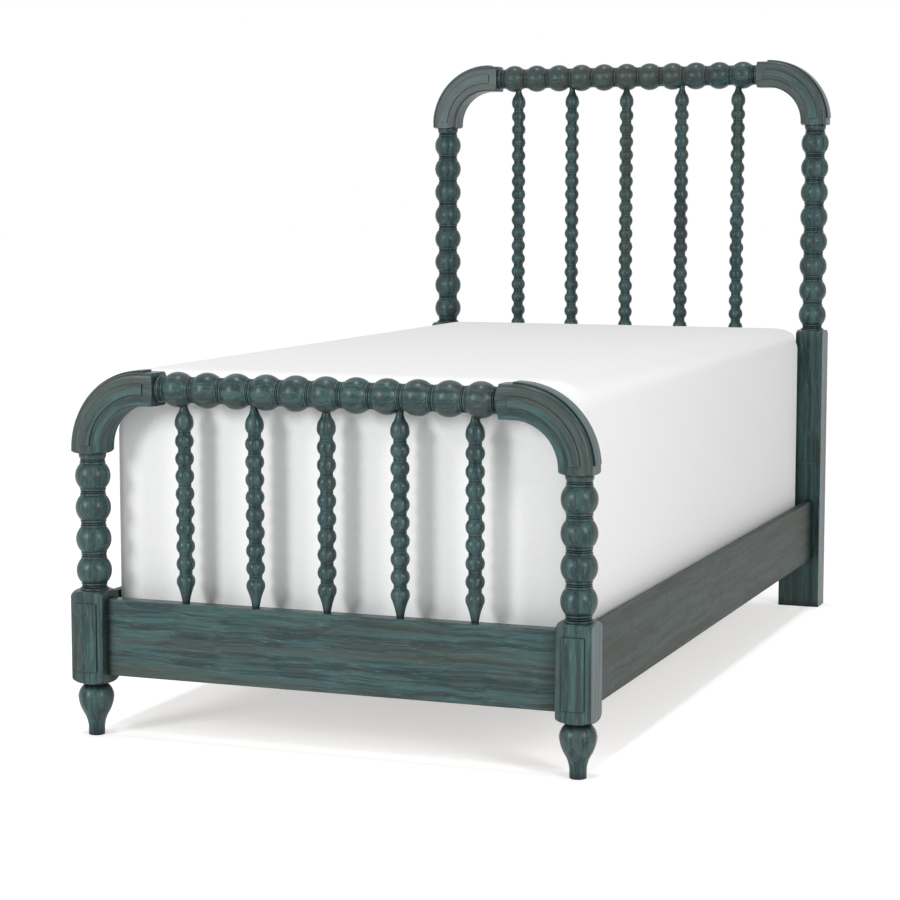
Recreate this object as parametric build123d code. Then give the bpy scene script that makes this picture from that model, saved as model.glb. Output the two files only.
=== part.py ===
from build123d import *
import math
import os

os.makedirs("parts", exist_ok=True)

# Panel bed with beaded posts and rails, in millimetres.
# X runs across the bed, Y runs from the foot end to the head end, Z runs up from the floor.
# The origin is on the floor, at the middle of the bed's outer box.

# Frame
POST_SPACING = 1018.0  # between the axes of the two posts at either end
BED_LENGTH = 1989.0  # between the post axes at the foot and at the head
BLOCK_SQUARE = 70.5  # width of the square part of a post
BLOCK_EASE = 2.0  # rounding of a block's upright edges
FOOT_BLOCK_BOTTOM = 120.4
BLOCK_BELOW_RAIL = 5.6  # foot block corner to the underside of the rails
BLOCK_ABOVE_RAIL = 4.0  # top of the rails to the foot block's upper corner
HEAD_BLOCK_TOP = 715.2
HEAD_RAIL_DROP = 29.2  # head block's upper corner down to its rail
HEAD_SEAM = 379.0  # where the head post stands on its wide leg
HEAD_LEG_WIDTH = 106.0  # the leg is wider than the post, towards the middle of the bed
SHOULDER_LENGTH = 18.8  # from a block's corner to the first neck
SHOULDER_STEP = 0.5  # a shoulder's round ends this far inside the flats of its square
SHOULDER_ROUND = 11.7  # length of the round over a block's corners
SHOULDER_BULGE_SHARE = 0.65  # how much of the corner's radius is left on the way, nearer 1 is fuller
SHOULDER_BULGE_PLACE = 0.62  # where along the round that is
COLLAR_RADIUS = 29.0  # turned collar between a shoulder and the first neck
COLLAR_STEP = 0.9
COLLAR_TAPER = 2.5

# Boards
RAIL_HEIGHT = 154.0
RAIL_THICKNESS = 31.75  # lower rails of the two ends
SIDE_RAIL_THICKNESS = 19.0
SIDE_RAIL_INSET = 21.25  # side rail's outer face behind the block's outer face
RAIL_EASE = 1.5

# Large beads of the posts and top rails
BEAD_RADIUS = 35.2
BEAD_PITCH = 63.5
FOOT_BEADS = 4
HEAD_BEADS = 8
NECK_HALF = 7.25  # a bead's round ends this far from the middle of its neck
NECK_RING = 1.25
NECK_GROOVE = 1.75
NECK_BAND = 2.25
NECK_CREST = 4.5
NECK_LIP = 6.6
NECK_GROOVE_DEPTH = 2.0  # groove under the edge of the bead
NECK_BAND_RISE = 0.6

# Elbows that join the posts to the top rails
ELBOW_SQUARE = 66.0
ELBOW_RADIUS = 122.0  # centre line
ELBOW_STRAIGHT = 25.0  # straight length on the rail side
ELBOW_POST_END = 24.0  # turned end on the post side, from the square's corner to the neck
ELBOW_POST_ROUND = 9.0  # length of the round over the square's corners on that side
ELBOW_RAIL_END = 15.0  # turned end on the rail side
ELBOW_RAIL_ROUND = 4.5
ELBOW_OUTER_ROUND = 9.0
ELBOW_INNER_ROUND = 5.0
ELBOW_COLLAR_RADIUS = 27.0

# Raised panels and strips
PANEL_WIDTH = 22.0
PANEL_PROUD = 2.5
PANEL_RUN_OUT = 8.0  # past the bend onto the straight, and short of the bend's lower end
STRIP_WIDTH = 37.0
STRIP_PROUD = 4.0
STRIP_RUN_OUT = 3.0
STRIP_STOP = 7.0
BLOCK_PANEL_WIDTH = 44.0
BLOCK_PANEL_MARGIN = 13.0  # block's corners to the ends of its panel
BLOCK_PANEL_PROUD = 3.0
PANEL_EASE = 1.0

# Turned foot
FOOT_SOLE_RADIUS = 16.4
FOOT_SOLE_EASE = 1.0
FOOT_ANKLE_TOP = 12.0  # the foot is straight up to here
FOOT_CALF_RADIUS = 19.0
FOOT_CALF_HEIGHT = 31.0
FOOT_KNEE_RADIUS = 24.6
FOOT_KNEE_HEIGHT = 44.0
FOOT_THIGH_RADIUS = 32.8
FOOT_THIGH_HEIGHT = 62.0
FOOT_BULB_RADIUS = 36.0
FOOT_BULB_HEIGHT = 79.0
FOOT_BROW_RADIUS = 32.6
FOOT_BROW_HEIGHT = 92.0
FOOT_NECK_RADIUS = 22.0
FOOT_NECK_STEP = 2.0  # from the bulb's upper end in to the neck
FOOT_NECK_LENGTH = 4.0
FOOT_TOP = 107.0
BLOCK_FOOT_RADIUS = 25.0  # turned underside of a foot block, where it meets the foot
BLOCK_FOOT_FLARE = 4.0
BLOCK_FOOT_LIP = 1.5
BLOCK_FOOT_BULGE = 5.0  # the underside's round passes this far inside the block's corner
BLOCK_FOOT_BULGE_DROP = 7.0
FOOT_TENON_RADIUS = 10.0
FOOT_TENON_LENGTH = 28.0

# Spindles
SPINDLE_COUNT = 5
SPINDLE_END_ROOM = 1.35  # from an outer spindle to the post's axis, in spaces between spindles
SMALL_RADIUS = 18.5
SMALL_PITCH = 34.84
SMALL_NECK_HALF = 4.2
SMALL_RING = 1.0
SMALL_GROOVE = 1.5
SMALL_BAND = 2.0
SMALL_GROOVE_DEPTH = 0.95
LOWER_DROP = 43.8  # from the lowest bead's widest point down to the rail
UPPER_DROP = 31.1  # from the highest bead's widest point up to the rail's bead
SPINDLE_HIP_SHARE = 0.5  # the lowest bead runs into the taper this share of its radius below its middle
SPINDLE_WIDE_ANGLE = 15.0  # points on a small bead's round that its arcs pass through
SPINDLE_SIDE_ANGLE = 25.0
SPINDLE_TAIL_RADIUS = 7.3
SPINDLE_TAIL_LENGTH = 1.8
SPINDLE_TAPER_HOLLOW = 1.1
SPINDLE_BROW_SHARE = 0.55  # places up the swelling below the top rail, as shares of its height
SPINDLE_CHEEK_SHARE = 0.26
SPINDLE_TOP_SHARE = 0.8
SPINDLE_BROW_STEP = 4.0  # how far the swelling is inside the bead's radius there
SPINDLE_CHEEK_STEP = 0.7
SPINDLE_TOP_FLARE = 2.4
SPINDLE_TOP_STEP = 0.5
SPINDLE_PIN_RADIUS = 7.5
SPINDLE_TENON_RADIUS = 6.0
SPINDLE_TENON_LENGTH = 15.0
PIN_BELOW_AXIS = 8.0  # top of a spindle's pin below the axis of the top rail

# Rail fittings
PLATE_THICKNESS = 2.5
HOOK_PLATE_LENGTH = 60.0
HOOK_PLATE_SHORTER = 34.0  # hook plate against the rail's height
HOOK_SCREW_EDGE = 12.0
SLOT_PLATE_WIDTH = 24.0
SLOT_SCREW_EDGE = 8.0
SLOT_PLATE_SHORTER = 24.0
HOOK_SPACING = 60.0
HOOK_NECK = 12.0
HOOK_TIP = 8.0
HOOK_THICKNESS = 6.0
HOOK_GAP = 0.3  # between a hook's tip and the plate it grips
SLOT_HEIGHT = 24.0
SLOT_SIDE_GAP = 0.4
POCKET_WIDTH = 8.0
POCKET_DEPTH = 14.0
POCKET_BELOW = 10.0

# Slats and what carries them
CLEAT_SQUARE = 25.0
CLEAT_ABOVE_RAIL = 24.0  # rail's underside up to the cleat
CLEAT_END_GAP = 5.0  # between a cleat and the hook plate beside it
SLAT_COUNT = 4
SLAT_WIDTH = 70.0
SLAT_THICKNESS = 19.0
SLAT_END_GAP = 1.0
SLAT_END_MARGIN = 70.0  # from a cleat's end to the middle of the nearest slat
SLAT_LEG_SQUARE = 38.0
SLAT_LEG_BOTTOM = 26.0

# Screw glides under the slat legs
GLIDE_RADIUS = 15.0
GLIDE_HEIGHT = 6.0
GLIDE_SOLE_EASE = 1.0
GLIDE_TOP_DROP = 2.0
GLIDE_TOP_SLOPE = 3.0
GLIDE_SOCKET_DEPTH = 4.0
STEM_RADIUS = 3.95
STEM_TOP = 51.0
STEM_HEX_ACROSS = 13.0
STEM_HEX_HEIGHT = 5.0
STEM_CHAMFER = 1.0
INSERT_BORE = 4.0
INSERT_RADIUS = 5.5
INSERT_LENGTH = 15.0
INSERT_FLANGE_RADIUS = 10.0
INSERT_FLANGE = 1.5
GLIDE_TRAVEL = 12.0

# Mattress, box spring and their cover
BEDDING_SIDE_GAP = 17.0  # cover to a side rail
BEDDING_FOOT_GAP = 17.0  # cover to the foot blocks
BEDDING_HEAD_GAP = 14.0  # cover to the head legs
BEDDING_TOP = 737.0
BOX_SPRING_HEIGHT = 229.0
COVER_THICKNESS = 1.2
COVER_HEM = 6.0  # cover's lower edge above the slats
SOFT_EDGE = 24.0
SOFT_CORNER = 26.0
SOFT_CROWN = 2.0
BOX_SPRING_EDGE = 12.0

# Screws and dowels
SCREW_SHANK = 2.0
SCREW_HEAD = 4.0
SCREW_HEAD_DEPTH = 2.2
SCREW_TIP_RADIUS = 0.4
SCREW_TIP_LENGTH = 4.0
RECESS_WIDTH = 0.9
RECESS_LENGTH = 4.6
RECESS_DEPTH = 1.3
PLATE_SCREW_LENGTH = 16.0
LONG_SCREW_LENGTH = 38.0
CLEAT_SCREWS = 5
DOWEL_RADIUS = 8.0
DOWEL_LENGTH = 50.0
DOWEL_CHAMFER = 1.0

# Clearances
FIT = 0.05  # round a screw, dowel, tenon or pin in its hole
HOLE_RELIEF = 1.0  # past the end of a dowel, tenon or pin
SOFT_GAP = 0.3  # between soft pieces and what they lie on

# Places worked out from the sizes above
POST_X = POST_SPACING / 2
HALF_BLOCK = BLOCK_SQUARE / 2
FRONT_REACH = HALF_BLOCK + BLOCK_PANEL_PROUD
BACK_REACH = max(BEAD_RADIUS, HALF_BLOCK)
FOOT_Y = (FRONT_REACH - BACK_REACH - BED_LENGTH) / 2
HEAD_Y = FOOT_Y + BED_LENGTH
RAIL_BOTTOM = FOOT_BLOCK_BOTTOM + BLOCK_BELOW_RAIL
RAIL_TOP = RAIL_BOTTOM + RAIL_HEIGHT
FOOT_BLOCK_TOP = RAIL_TOP + BLOCK_ABOVE_RAIL
HEAD_RAIL_TOP = HEAD_BLOCK_TOP - HEAD_RAIL_DROP
FOOT_FIRST_NECK = FOOT_BLOCK_TOP + SHOULDER_LENGTH
HEAD_FIRST_NECK = HEAD_BLOCK_TOP + SHOULDER_LENGTH
FOOT_LAST_NECK = FOOT_FIRST_NECK + FOOT_BEADS * BEAD_PITCH
HEAD_LAST_NECK = HEAD_FIRST_NECK + HEAD_BEADS * BEAD_PITCH
FOOT_RAIL_AXIS = FOOT_LAST_NECK + ELBOW_POST_END + ELBOW_RADIUS
HEAD_RAIL_AXIS = HEAD_LAST_NECK + ELBOW_POST_END + ELBOW_RADIUS
ELBOW_REACH = ELBOW_RADIUS + ELBOW_STRAIGHT + ELBOW_RAIL_END
TOP_RAIL_SPAN = POST_SPACING - 2 * ELBOW_REACH  # between its two end necks
TOP_BEADS = round(TOP_RAIL_SPAN / BEAD_PITCH)
TOP_PITCH = TOP_RAIL_SPAN / TOP_BEADS
SPINDLE_SPACE = POST_SPACING / (SPINDLE_COUNT - 1 + 2 * SPINDLE_END_ROOM)
SPINDLE_XS = [(i - (SPINDLE_COUNT - 1) / 2) * SPINDLE_SPACE for i in range(SPINDLE_COUNT)]
SIDE_RAIL_OUT = POST_X + HALF_BLOCK - SIDE_RAIL_INSET
SIDE_RAIL_IN = SIDE_RAIL_OUT - SIDE_RAIL_THICKNESS
SIDE_RAIL_Y = (FOOT_Y + HALF_BLOCK, HEAD_Y - HALF_BLOCK)
HOOK_X = (SIDE_RAIL_IN - PLATE_THICKNESS, SIDE_RAIL_IN)
HOOK_MIDDLE = SIDE_RAIL_IN - PLATE_THICKNESS / 2
RAIL_MIDDLE = RAIL_BOTTOM + RAIL_HEIGHT / 2
CLEAT_STOP = HOOK_PLATE_LENGTH + CLEAT_END_GAP
CLEAT_Y = (SIDE_RAIL_Y[0] + CLEAT_STOP, SIDE_RAIL_Y[1] - CLEAT_STOP)
CLEAT_BOTTOM = RAIL_BOTTOM + CLEAT_ABOVE_RAIL
SLAT_BOTTOM = CLEAT_BOTTOM + CLEAT_SQUARE
SLAT_TOP = SLAT_BOTTOM + SLAT_THICKNESS
SLAT_FIRST = CLEAT_Y[0] + SLAT_END_MARGIN
SLAT_STEP = (CLEAT_Y[1] - CLEAT_Y[0] - 2 * SLAT_END_MARGIN) / (SLAT_COUNT - 1)
SLAT_YS = [SLAT_FIRST + i * SLAT_STEP for i in range(SLAT_COUNT)]
BEDDING_WIDTH = 2 * (SIDE_RAIL_IN - BEDDING_SIDE_GAP)
BEDDING_Y = (SIDE_RAIL_Y[0] + BEDDING_FOOT_GAP, SIDE_RAIL_Y[1] - BEDDING_HEAD_GAP)
SIDES = {"left": -1, "right": 1}
FROM_TOP = (Align.CENTER, Align.CENTER, Align.MAX)
FROM_BOTTOM = (Align.CENTER, Align.CENTER, Align.MIN)


def span(xs, ys, zs):
    """A box between two places along each axis, given in either order."""
    (x0, x1), (y0, y1), (z0, z1) = sorted(xs), sorted(ys), sorted(zs)
    return Pos((x0 + x1) / 2, (y0 + y1) / 2, (z0 + z1) / 2) * Box(x1 - x0, y1 - y0, z1 - z0)


def around(middle, width):
    """The two ends of a width that is centred on a place."""
    return (middle - width / 2, middle + width / 2)


def turned(start, moves):
    """A solid turned about the Z axis from an outline of (radius, height) points.

    A move is one point for a straight stretch, or a point on the way and an end point for an arc.
    """
    def lift(point):
        return Vector(point[0], 0, point[1])

    edges = []
    here = start
    for move in moves:
        if len(move) == 1:
            edges.append(Line(lift(here), lift(move[0])))
        else:
            edges.append(ThreePointArc(lift(here), lift(move[0]), lift(move[1])))
        here = move[-1]
    edges.append(Line(lift(here), lift((0, here[1]))))
    edges.append(Line(lift((0, here[1])), lift((0, start[1]))))
    edges.append(Line(lift((0, start[1])), lift(start)))
    return revolve(make_face(edges), Axis.Z)


def bead_edge(pitch):
    """Radius at which a large bead's round meets its neck."""
    return math.sqrt(BEAD_RADIUS**2 - (pitch / 2 - NECK_HALF) ** 2)


def large_neck(middle, edge, below=True, above=True):
    """Outline over a neck's band, groove, ring, groove and band, from the bottom up.

    Without the part below or above, the outline starts or ends in the groove beside the ring.
    """
    groove = edge - NECK_GROOVE_DEPTH
    ring_edge = edge - NECK_GROOVE_DEPTH / 2
    crest = edge + NECK_BAND_RISE
    moves = []
    if below:
        moves.append([(edge - NECK_BAND_RISE, middle - (NECK_HALF + NECK_LIP) / 2)])
        moves.append([(edge + NECK_BAND_RISE / 2, middle - NECK_LIP)])
        moves.append([(crest, middle - NECK_CREST), (ring_edge, middle - NECK_BAND)])
        moves.append([(groove, middle - NECK_GROOVE)])
    moves.append([(ring_edge, middle - NECK_RING)])
    moves.append([(edge, middle), (ring_edge, middle + NECK_RING)])
    moves.append([(groove, middle + NECK_GROOVE)])
    if above:
        moves.append([(ring_edge, middle + NECK_BAND)])
        moves.append([(crest, middle + NECK_CREST), (edge + NECK_BAND_RISE / 2, middle + NECK_LIP)])
        moves.append([(edge - NECK_BAND_RISE, middle + (NECK_HALF + NECK_LIP) / 2)])
        moves.append([(edge, middle + NECK_HALF)])
    return moves


def bead_string(first_neck, beads, pitch):
    """Large beads between two necks, each end stopping in the groove past its ring."""
    edge = bead_edge(pitch)
    start = (edge - NECK_GROOVE_DEPTH, first_neck - NECK_GROOVE)
    moves = large_neck(first_neck, edge, below=False)
    for i in range(beads):
        middle = first_neck + (i + 0.5) * pitch
        moves.append([(BEAD_RADIUS, middle), (edge, middle + pitch / 2 - NECK_HALF)])
        moves += large_neck(middle + pitch / 2, edge, above=i < beads - 1)
    return turned(start, moves)


def shoulder(square, corner, round_length, collar, neck, pitch):
    """Outline up from a square's corner, over its rounded shoulder and collar, to the neck's groove."""
    flat_radius = square / 2 - SHOULDER_STEP
    bulge = flat_radius + SHOULDER_BULGE_SHARE * (square / math.sqrt(2) - flat_radius)
    round_top = corner + round_length
    collar_low = round_top + COLLAR_STEP
    collar_top = neck - NECK_BAND
    collar_end = collar - COLLAR_TAPER
    return [
        [(bulge, corner + SHOULDER_BULGE_PLACE * round_length), (flat_radius, round_top)],
        [(collar, collar_low)],
        [(collar, (collar_low + collar_top) / 2), (collar_end, collar_top)],
        [(bead_edge(pitch) - NECK_GROOVE_DEPTH, neck - NECK_GROOVE)],
    ]


def square_prism(side, bottom, top, ease):
    """An upright square post with rounded edges."""
    return Pos(0, 0, bottom) * extrude(RectangleRounded(side, side, ease), top - bottom)


def dowel_hole(x, y, z, direction):
    """A hole for half a dowel, centred on the joint at a point and deep along one direction both ways."""
    deep = DOWEL_LENGTH + 2 * HOLE_RELIEF
    return Plane(origin=(x, y, z), z_dir=direction).location * Cylinder(DOWEL_RADIUS + FIT, deep)


def dowel(x, y, z, direction):
    """A dowel with chamfered ends, centred on the joint at a point."""
    pin = Cylinder(DOWEL_RADIUS, DOWEL_LENGTH)
    pin = chamfer(pin.edges().filter_by(GeomType.CIRCLE), DOWEL_CHAMFER)
    return Plane(origin=(x, y, z), z_dir=direction).location * pin


def screw(length):
    """A countersunk wood screw that points down, with the flat of its head at height 0."""
    body = Cone(SCREW_SHANK, SCREW_HEAD, SCREW_HEAD_DEPTH, align=FROM_TOP)
    straight = length - SCREW_TIP_LENGTH
    body += Cylinder(SCREW_SHANK, straight, align=FROM_TOP)
    body += Pos(0, 0, -straight) * Cone(SCREW_TIP_RADIUS, SCREW_SHANK, SCREW_TIP_LENGTH, align=FROM_TOP)
    body -= Box(RECESS_WIDTH, RECESS_LENGTH, RECESS_DEPTH, align=FROM_TOP)
    body -= Box(RECESS_LENGTH, RECESS_WIDTH, RECESS_DEPTH, align=FROM_TOP)
    return body


def screw_hole(length):
    """The hole that a screw of this length lies in."""
    sink = Cone(SCREW_SHANK + FIT, SCREW_HEAD + FIT, SCREW_HEAD_DEPTH, align=FROM_TOP)
    return sink + Cylinder(SCREW_SHANK + FIT, length + HOLE_RELIEF, align=FROM_TOP)


def place(shape, seats):
    """Copies of a shape at seats that are (point, outward direction) pairs."""
    return [Plane(origin=point, z_dir=out).location * shape for point, out in seats]


def cut(shape, tools):
    """A shape with each of the tools taken away."""
    for tool in tools:
        shape -= tool
    return shape


# Where the fittings, screws and dowels sit

def rail_ends():
    """Post face and direction into the post, at a side rail's foot end and head end."""
    return [(SIDE_RAIL_Y[0], -1), (SIDE_RAIL_Y[1], 1)]


def hook_bottoms():
    """Height of the slot's lower edge that each hook sits on."""
    return [RAIL_MIDDLE - HOOK_SPACING / 2 - HOOK_NECK / 2, RAIL_MIDDLE + HOOK_SPACING / 2 - HOOK_NECK / 2]


def hook_screw_seats(side):
    """Screws through a side rail's two hook plates."""
    half_height = (RAIL_HEIGHT - HOOK_PLATE_SHORTER) / 2 - HOOK_SCREW_EDGE
    seats = []
    for face, way in rail_ends():
        for back in (HOOK_PLATE_LENGTH / 4, 3 * HOOK_PLATE_LENGTH / 4):
            for rise in (-half_height, half_height):
                seats.append(((side * HOOK_X[0], face - way * back, RAIL_MIDDLE + rise), (-side, 0, 0)))
    return seats


def slot_screw_seats(side, face, way):
    """Screws through the slotted plate in one post."""
    half_height = (RAIL_HEIGHT - SLOT_PLATE_SHORTER) / 2 - SLOT_SCREW_EDGE
    x = side * HOOK_MIDDLE
    return [((x, face, RAIL_MIDDLE + rise), (0, -way, 0)) for rise in (-half_height, half_height)]


def cleat_screw_seats(side):
    """Screws through a cleat into its side rail, clear of the screws that hold the slats."""
    step = (CLEAT_Y[1] - CLEAT_Y[0]) / CLEAT_SCREWS
    z = CLEAT_BOTTOM + CLEAT_SQUARE / 2
    x = side * (SIDE_RAIL_IN - CLEAT_SQUARE)
    return [((x, CLEAT_Y[0] + (i + 0.5) * step, z), (-side, 0, 0)) for i in range(CLEAT_SCREWS)]


def slat_end_seats(y):
    """Screws down through a slat's two ends into the cleats."""
    x = SIDE_RAIL_IN - CLEAT_SQUARE / 2
    return [((side * x, y + SLAT_WIDTH / 4, SLAT_TOP), (0, 0, 1)) for side in (-1, 1)]


def slat_leg_seats(y):
    """Screws down through a middle slat into its leg."""
    return [((0, y, SLAT_TOP), (0, 0, 1)) for y in around(y, SLAT_LEG_SQUARE / 2)]


def rail_dowel_seats(rail_bottom, y):
    """Two dowels at each end of a lower rail."""
    heights = (rail_bottom + RAIL_HEIGHT / 4, rail_bottom + 3 * RAIL_HEIGHT / 4)
    return [(side * (POST_X - HALF_BLOCK), y, z) for side in (-1, 1) for z in heights]


def head_leg_dowel_seats(side):
    """Two dowels between a head post and its leg."""
    return [(side * POST_X, HEAD_Y + way * BLOCK_SQUARE / 4, HEAD_SEAM) for way in (-1, 1)]


# Posts and legs

def slot_recess(side, face, way):
    """What a slotted plate and its hooks need cut out of a post."""
    height = RAIL_HEIGHT - SLOT_PLATE_SHORTER
    xs = around(side * HOOK_MIDDLE, SLOT_PLATE_WIDTH)
    tools = [span(xs, (face, face + way * PLATE_THICKNESS), around(RAIL_MIDDLE, height))]
    for low in hook_bottoms():
        ys = (face, face + way * (PLATE_THICKNESS + POCKET_DEPTH))
        zs = (low - POCKET_BELOW, low + SLOT_HEIGHT)
        tools.append(span(around(side * HOOK_MIDDLE, POCKET_WIDTH), ys, zs))
    tools += place(screw_hole(PLATE_SCREW_LENGTH), slot_screw_seats(side, face, way))
    return tools


def foot_post(side):
    """Square block with turned shoulders, and the four beads above it."""
    corner = HALF_BLOCK * math.sqrt(2)
    bulge = (corner - BLOCK_FOOT_BULGE, FOOT_BLOCK_BOTTOM - BLOCK_FOOT_BULGE_DROP)
    outline = [[(BLOCK_FOOT_RADIUS + BLOCK_FOOT_FLARE, FOOT_TOP + BLOCK_FOOT_LIP)]]
    outline.append([bulge, (corner, FOOT_BLOCK_BOTTOM)])
    outline.append([(corner, FOOT_BLOCK_TOP)])
    outline += shoulder(
        BLOCK_SQUARE, FOOT_BLOCK_TOP, SHOULDER_ROUND, COLLAR_RADIUS, FOOT_FIRST_NECK, BEAD_PITCH
    )
    post = turned((BLOCK_FOOT_RADIUS, FOOT_TOP), outline)
    post &= square_prism(BLOCK_SQUARE, FOOT_TOP, FOOT_FIRST_NECK, BLOCK_EASE)
    post += bead_string(FOOT_FIRST_NECK, FOOT_BEADS, BEAD_PITCH)
    tenon_hole = Cylinder(FOOT_TENON_RADIUS + FIT, FOOT_TENON_LENGTH + HOLE_RELIEF, align=FROM_BOTTOM)
    post -= Pos(0, 0, FOOT_TOP) * tenon_hole
    post = Pos(side * POST_X, FOOT_Y, 0) * post
    tools = slot_recess(side, SIDE_RAIL_Y[0], -1)
    tools.append(dowel_hole(side * POST_X, FOOT_Y, FOOT_LAST_NECK + NECK_GROOVE, (0, 0, 1)))
    for x, y, z in rail_dowel_seats(RAIL_BOTTOM, FOOT_Y):
        if x * side > 0:
            tools.append(dowel_hole(x, y, z, (1, 0, 0)))
    return cut(post, tools)


def foot_leg(side):
    """Turned foot with a bulb, and the tenon that holds it in the block."""
    neck_low = FOOT_TOP - FOOT_NECK_LENGTH
    leg = turned(
        (FOOT_SOLE_RADIUS - FOOT_SOLE_EASE, 0),
        [
            [(FOOT_SOLE_RADIUS, FOOT_SOLE_EASE)],
            [(FOOT_SOLE_RADIUS, FOOT_ANKLE_TOP)],
            [(FOOT_CALF_RADIUS, FOOT_CALF_HEIGHT), (FOOT_KNEE_RADIUS, FOOT_KNEE_HEIGHT)],
            [(FOOT_THIGH_RADIUS, FOOT_THIGH_HEIGHT), (FOOT_BULB_RADIUS, FOOT_BULB_HEIGHT)],
            [(FOOT_BROW_RADIUS, FOOT_BROW_HEIGHT), (FOOT_NECK_RADIUS + FOOT_NECK_STEP, neck_low)],
            [(FOOT_NECK_RADIUS, neck_low + FOOT_NECK_LENGTH / 4)],
            [(FOOT_NECK_RADIUS, FOOT_TOP)],
            [(FOOT_TENON_RADIUS, FOOT_TOP)],
            [(FOOT_TENON_RADIUS, FOOT_TOP + FOOT_TENON_LENGTH)],
        ],
    )
    return Pos(side * POST_X, FOOT_Y, 0) * leg


def head_post(side):
    """Long square block with a turned shoulder, and the eight beads above it."""
    corner = HALF_BLOCK * math.sqrt(2)
    outline = [[(corner, HEAD_BLOCK_TOP)]]
    outline += shoulder(
        BLOCK_SQUARE, HEAD_BLOCK_TOP, SHOULDER_ROUND, COLLAR_RADIUS, HEAD_FIRST_NECK, BEAD_PITCH
    )
    post = turned((corner, HEAD_SEAM), outline)
    post &= square_prism(BLOCK_SQUARE, HEAD_SEAM, HEAD_FIRST_NECK, BLOCK_EASE)
    post += bead_string(HEAD_FIRST_NECK, HEAD_BEADS, BEAD_PITCH)
    post = Pos(side * POST_X, HEAD_Y, 0) * post
    tools = [dowel_hole(side * POST_X, HEAD_Y, HEAD_LAST_NECK + NECK_GROOVE, (0, 0, 1))]
    for x, y, z in head_leg_dowel_seats(side):
        tools.append(dowel_hole(x, y, z, (0, 0, 1)))
    for x, y, z in rail_dowel_seats(HEAD_RAIL_TOP - RAIL_HEIGHT, HEAD_Y):
        if x * side > 0:
            tools.append(dowel_hole(x, y, z, (1, 0, 0)))
    return cut(post, tools)


def head_leg(side):
    """Square-cut leg under a head post, wider than the post towards the middle of the bed."""
    outer = POST_X + HALF_BLOCK
    middle = side * (outer - HEAD_LEG_WIDTH / 2)
    plan = RectangleRounded(HEAD_LEG_WIDTH, BLOCK_SQUARE, BLOCK_EASE)
    leg = Pos(middle, HEAD_Y, 0) * extrude(plan, HEAD_SEAM)
    tools = slot_recess(side, SIDE_RAIL_Y[1], 1)
    for x, y, z in head_leg_dowel_seats(side):
        tools.append(dowel_hole(x, y, z, (0, 0, 1)))
    return cut(leg, tools)


# Elbows

def elbow_section():
    """Square section with the larger rounding on the outside of the bend, which is local +X."""
    section = Rectangle(ELBOW_SQUARE, ELBOW_SQUARE)
    section = fillet(section.vertices().group_by(Axis.X)[-1], ELBOW_OUTER_ROUND)
    return fillet(section.vertices().group_by(Axis.X)[0], ELBOW_INNER_ROUND)


def elbow_end(length, round_length, pitch):
    """Square end that is turned down to its collar, from height 0 to the groove beside the neck."""
    outline = shoulder(ELBOW_SQUARE, 0, round_length, ELBOW_COLLAR_RADIUS, length, pitch)
    return turned((ELBOW_SQUARE / math.sqrt(2), 0), outline) & extrude(elbow_section(), length)


# In its own frame an elbow's post axis is X = 0, its rail axis is Z = 0 and its bend turns about this line
BEND_AXIS = Axis((-ELBOW_RADIUS, 0, -ELBOW_RADIUS), (0, -1, 0))
POST_END = Plane(origin=(0, 0, -ELBOW_RADIUS), x_dir=(1, 0, 0), z_dir=(0, 0, -1))
RAIL_START = Plane(origin=(-ELBOW_RADIUS, 0, 0), x_dir=(0, 0, 1), z_dir=(-1, 0, 0))
RAIL_END = Plane(origin=(-ELBOW_RADIUS - ELBOW_STRAIGHT, 0, 0), x_dir=(0, 0, 1), z_dir=(-1, 0, 0))


def bent_bar(section, stop, run_out):
    """A section swept round the bend, from a stop short of the post end and on along the rail side.

    The section is drawn with X out of the bend and Y towards the back of the bed.
    """
    skipped = math.degrees(math.asin(stop / ELBOW_RADIUS))
    start = Plane(origin=(0, 0, -ELBOW_RADIUS), x_dir=(1, 0, 0), z_dir=(0, 0, 1))
    bar = revolve(start * section, BEND_AXIS, 90 - skipped).rotate(BEND_AXIS, skipped)
    return bar + extrude(RAIL_START * section, run_out)


def elbow_in_place(shape, side, axis_height, y):
    """An elbow piece moved from its own frame to its corner of the bed."""
    if side < 0:
        shape = mirror(shape, Plane.YZ)
    return Pos(side * POST_X, y, axis_height) * shape


def elbow(side, axis_height, y):
    """Square elbow with turned ends and a dowel hole in each."""
    section = elbow_section()
    start = Plane(origin=(0, 0, -ELBOW_RADIUS), x_dir=(1, 0, 0), z_dir=(0, 0, 1))
    body = revolve(start * section, BEND_AXIS, 90)
    body += extrude(RAIL_START * section, ELBOW_STRAIGHT)
    body += POST_END.location * elbow_end(ELBOW_POST_END, ELBOW_POST_ROUND, BEAD_PITCH)
    body += RAIL_END.location * elbow_end(ELBOW_RAIL_END, ELBOW_RAIL_ROUND, TOP_PITCH)
    body -= dowel_hole(0, 0, -ELBOW_RADIUS - ELBOW_POST_END + NECK_GROOVE, (0, 0, 1))
    body -= dowel_hole(-ELBOW_REACH + NECK_GROOVE, 0, 0, (1, 0, 0))
    return elbow_in_place(body, side, axis_height, y)


def elbow_panel(side, axis_height, y):
    """Raised panel along the middle of an elbow's front face."""
    low = -ELBOW_SQUARE / 2 - PANEL_PROUD
    section = Pos(0, low + PANEL_PROUD / 2) * Rectangle(PANEL_WIDTH, PANEL_PROUD)
    section = fillet(section.vertices().group_by(Axis.Y)[0], PANEL_EASE)
    return elbow_in_place(bent_bar(section, PANEL_RUN_OUT, PANEL_RUN_OUT), side, axis_height, y)


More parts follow.
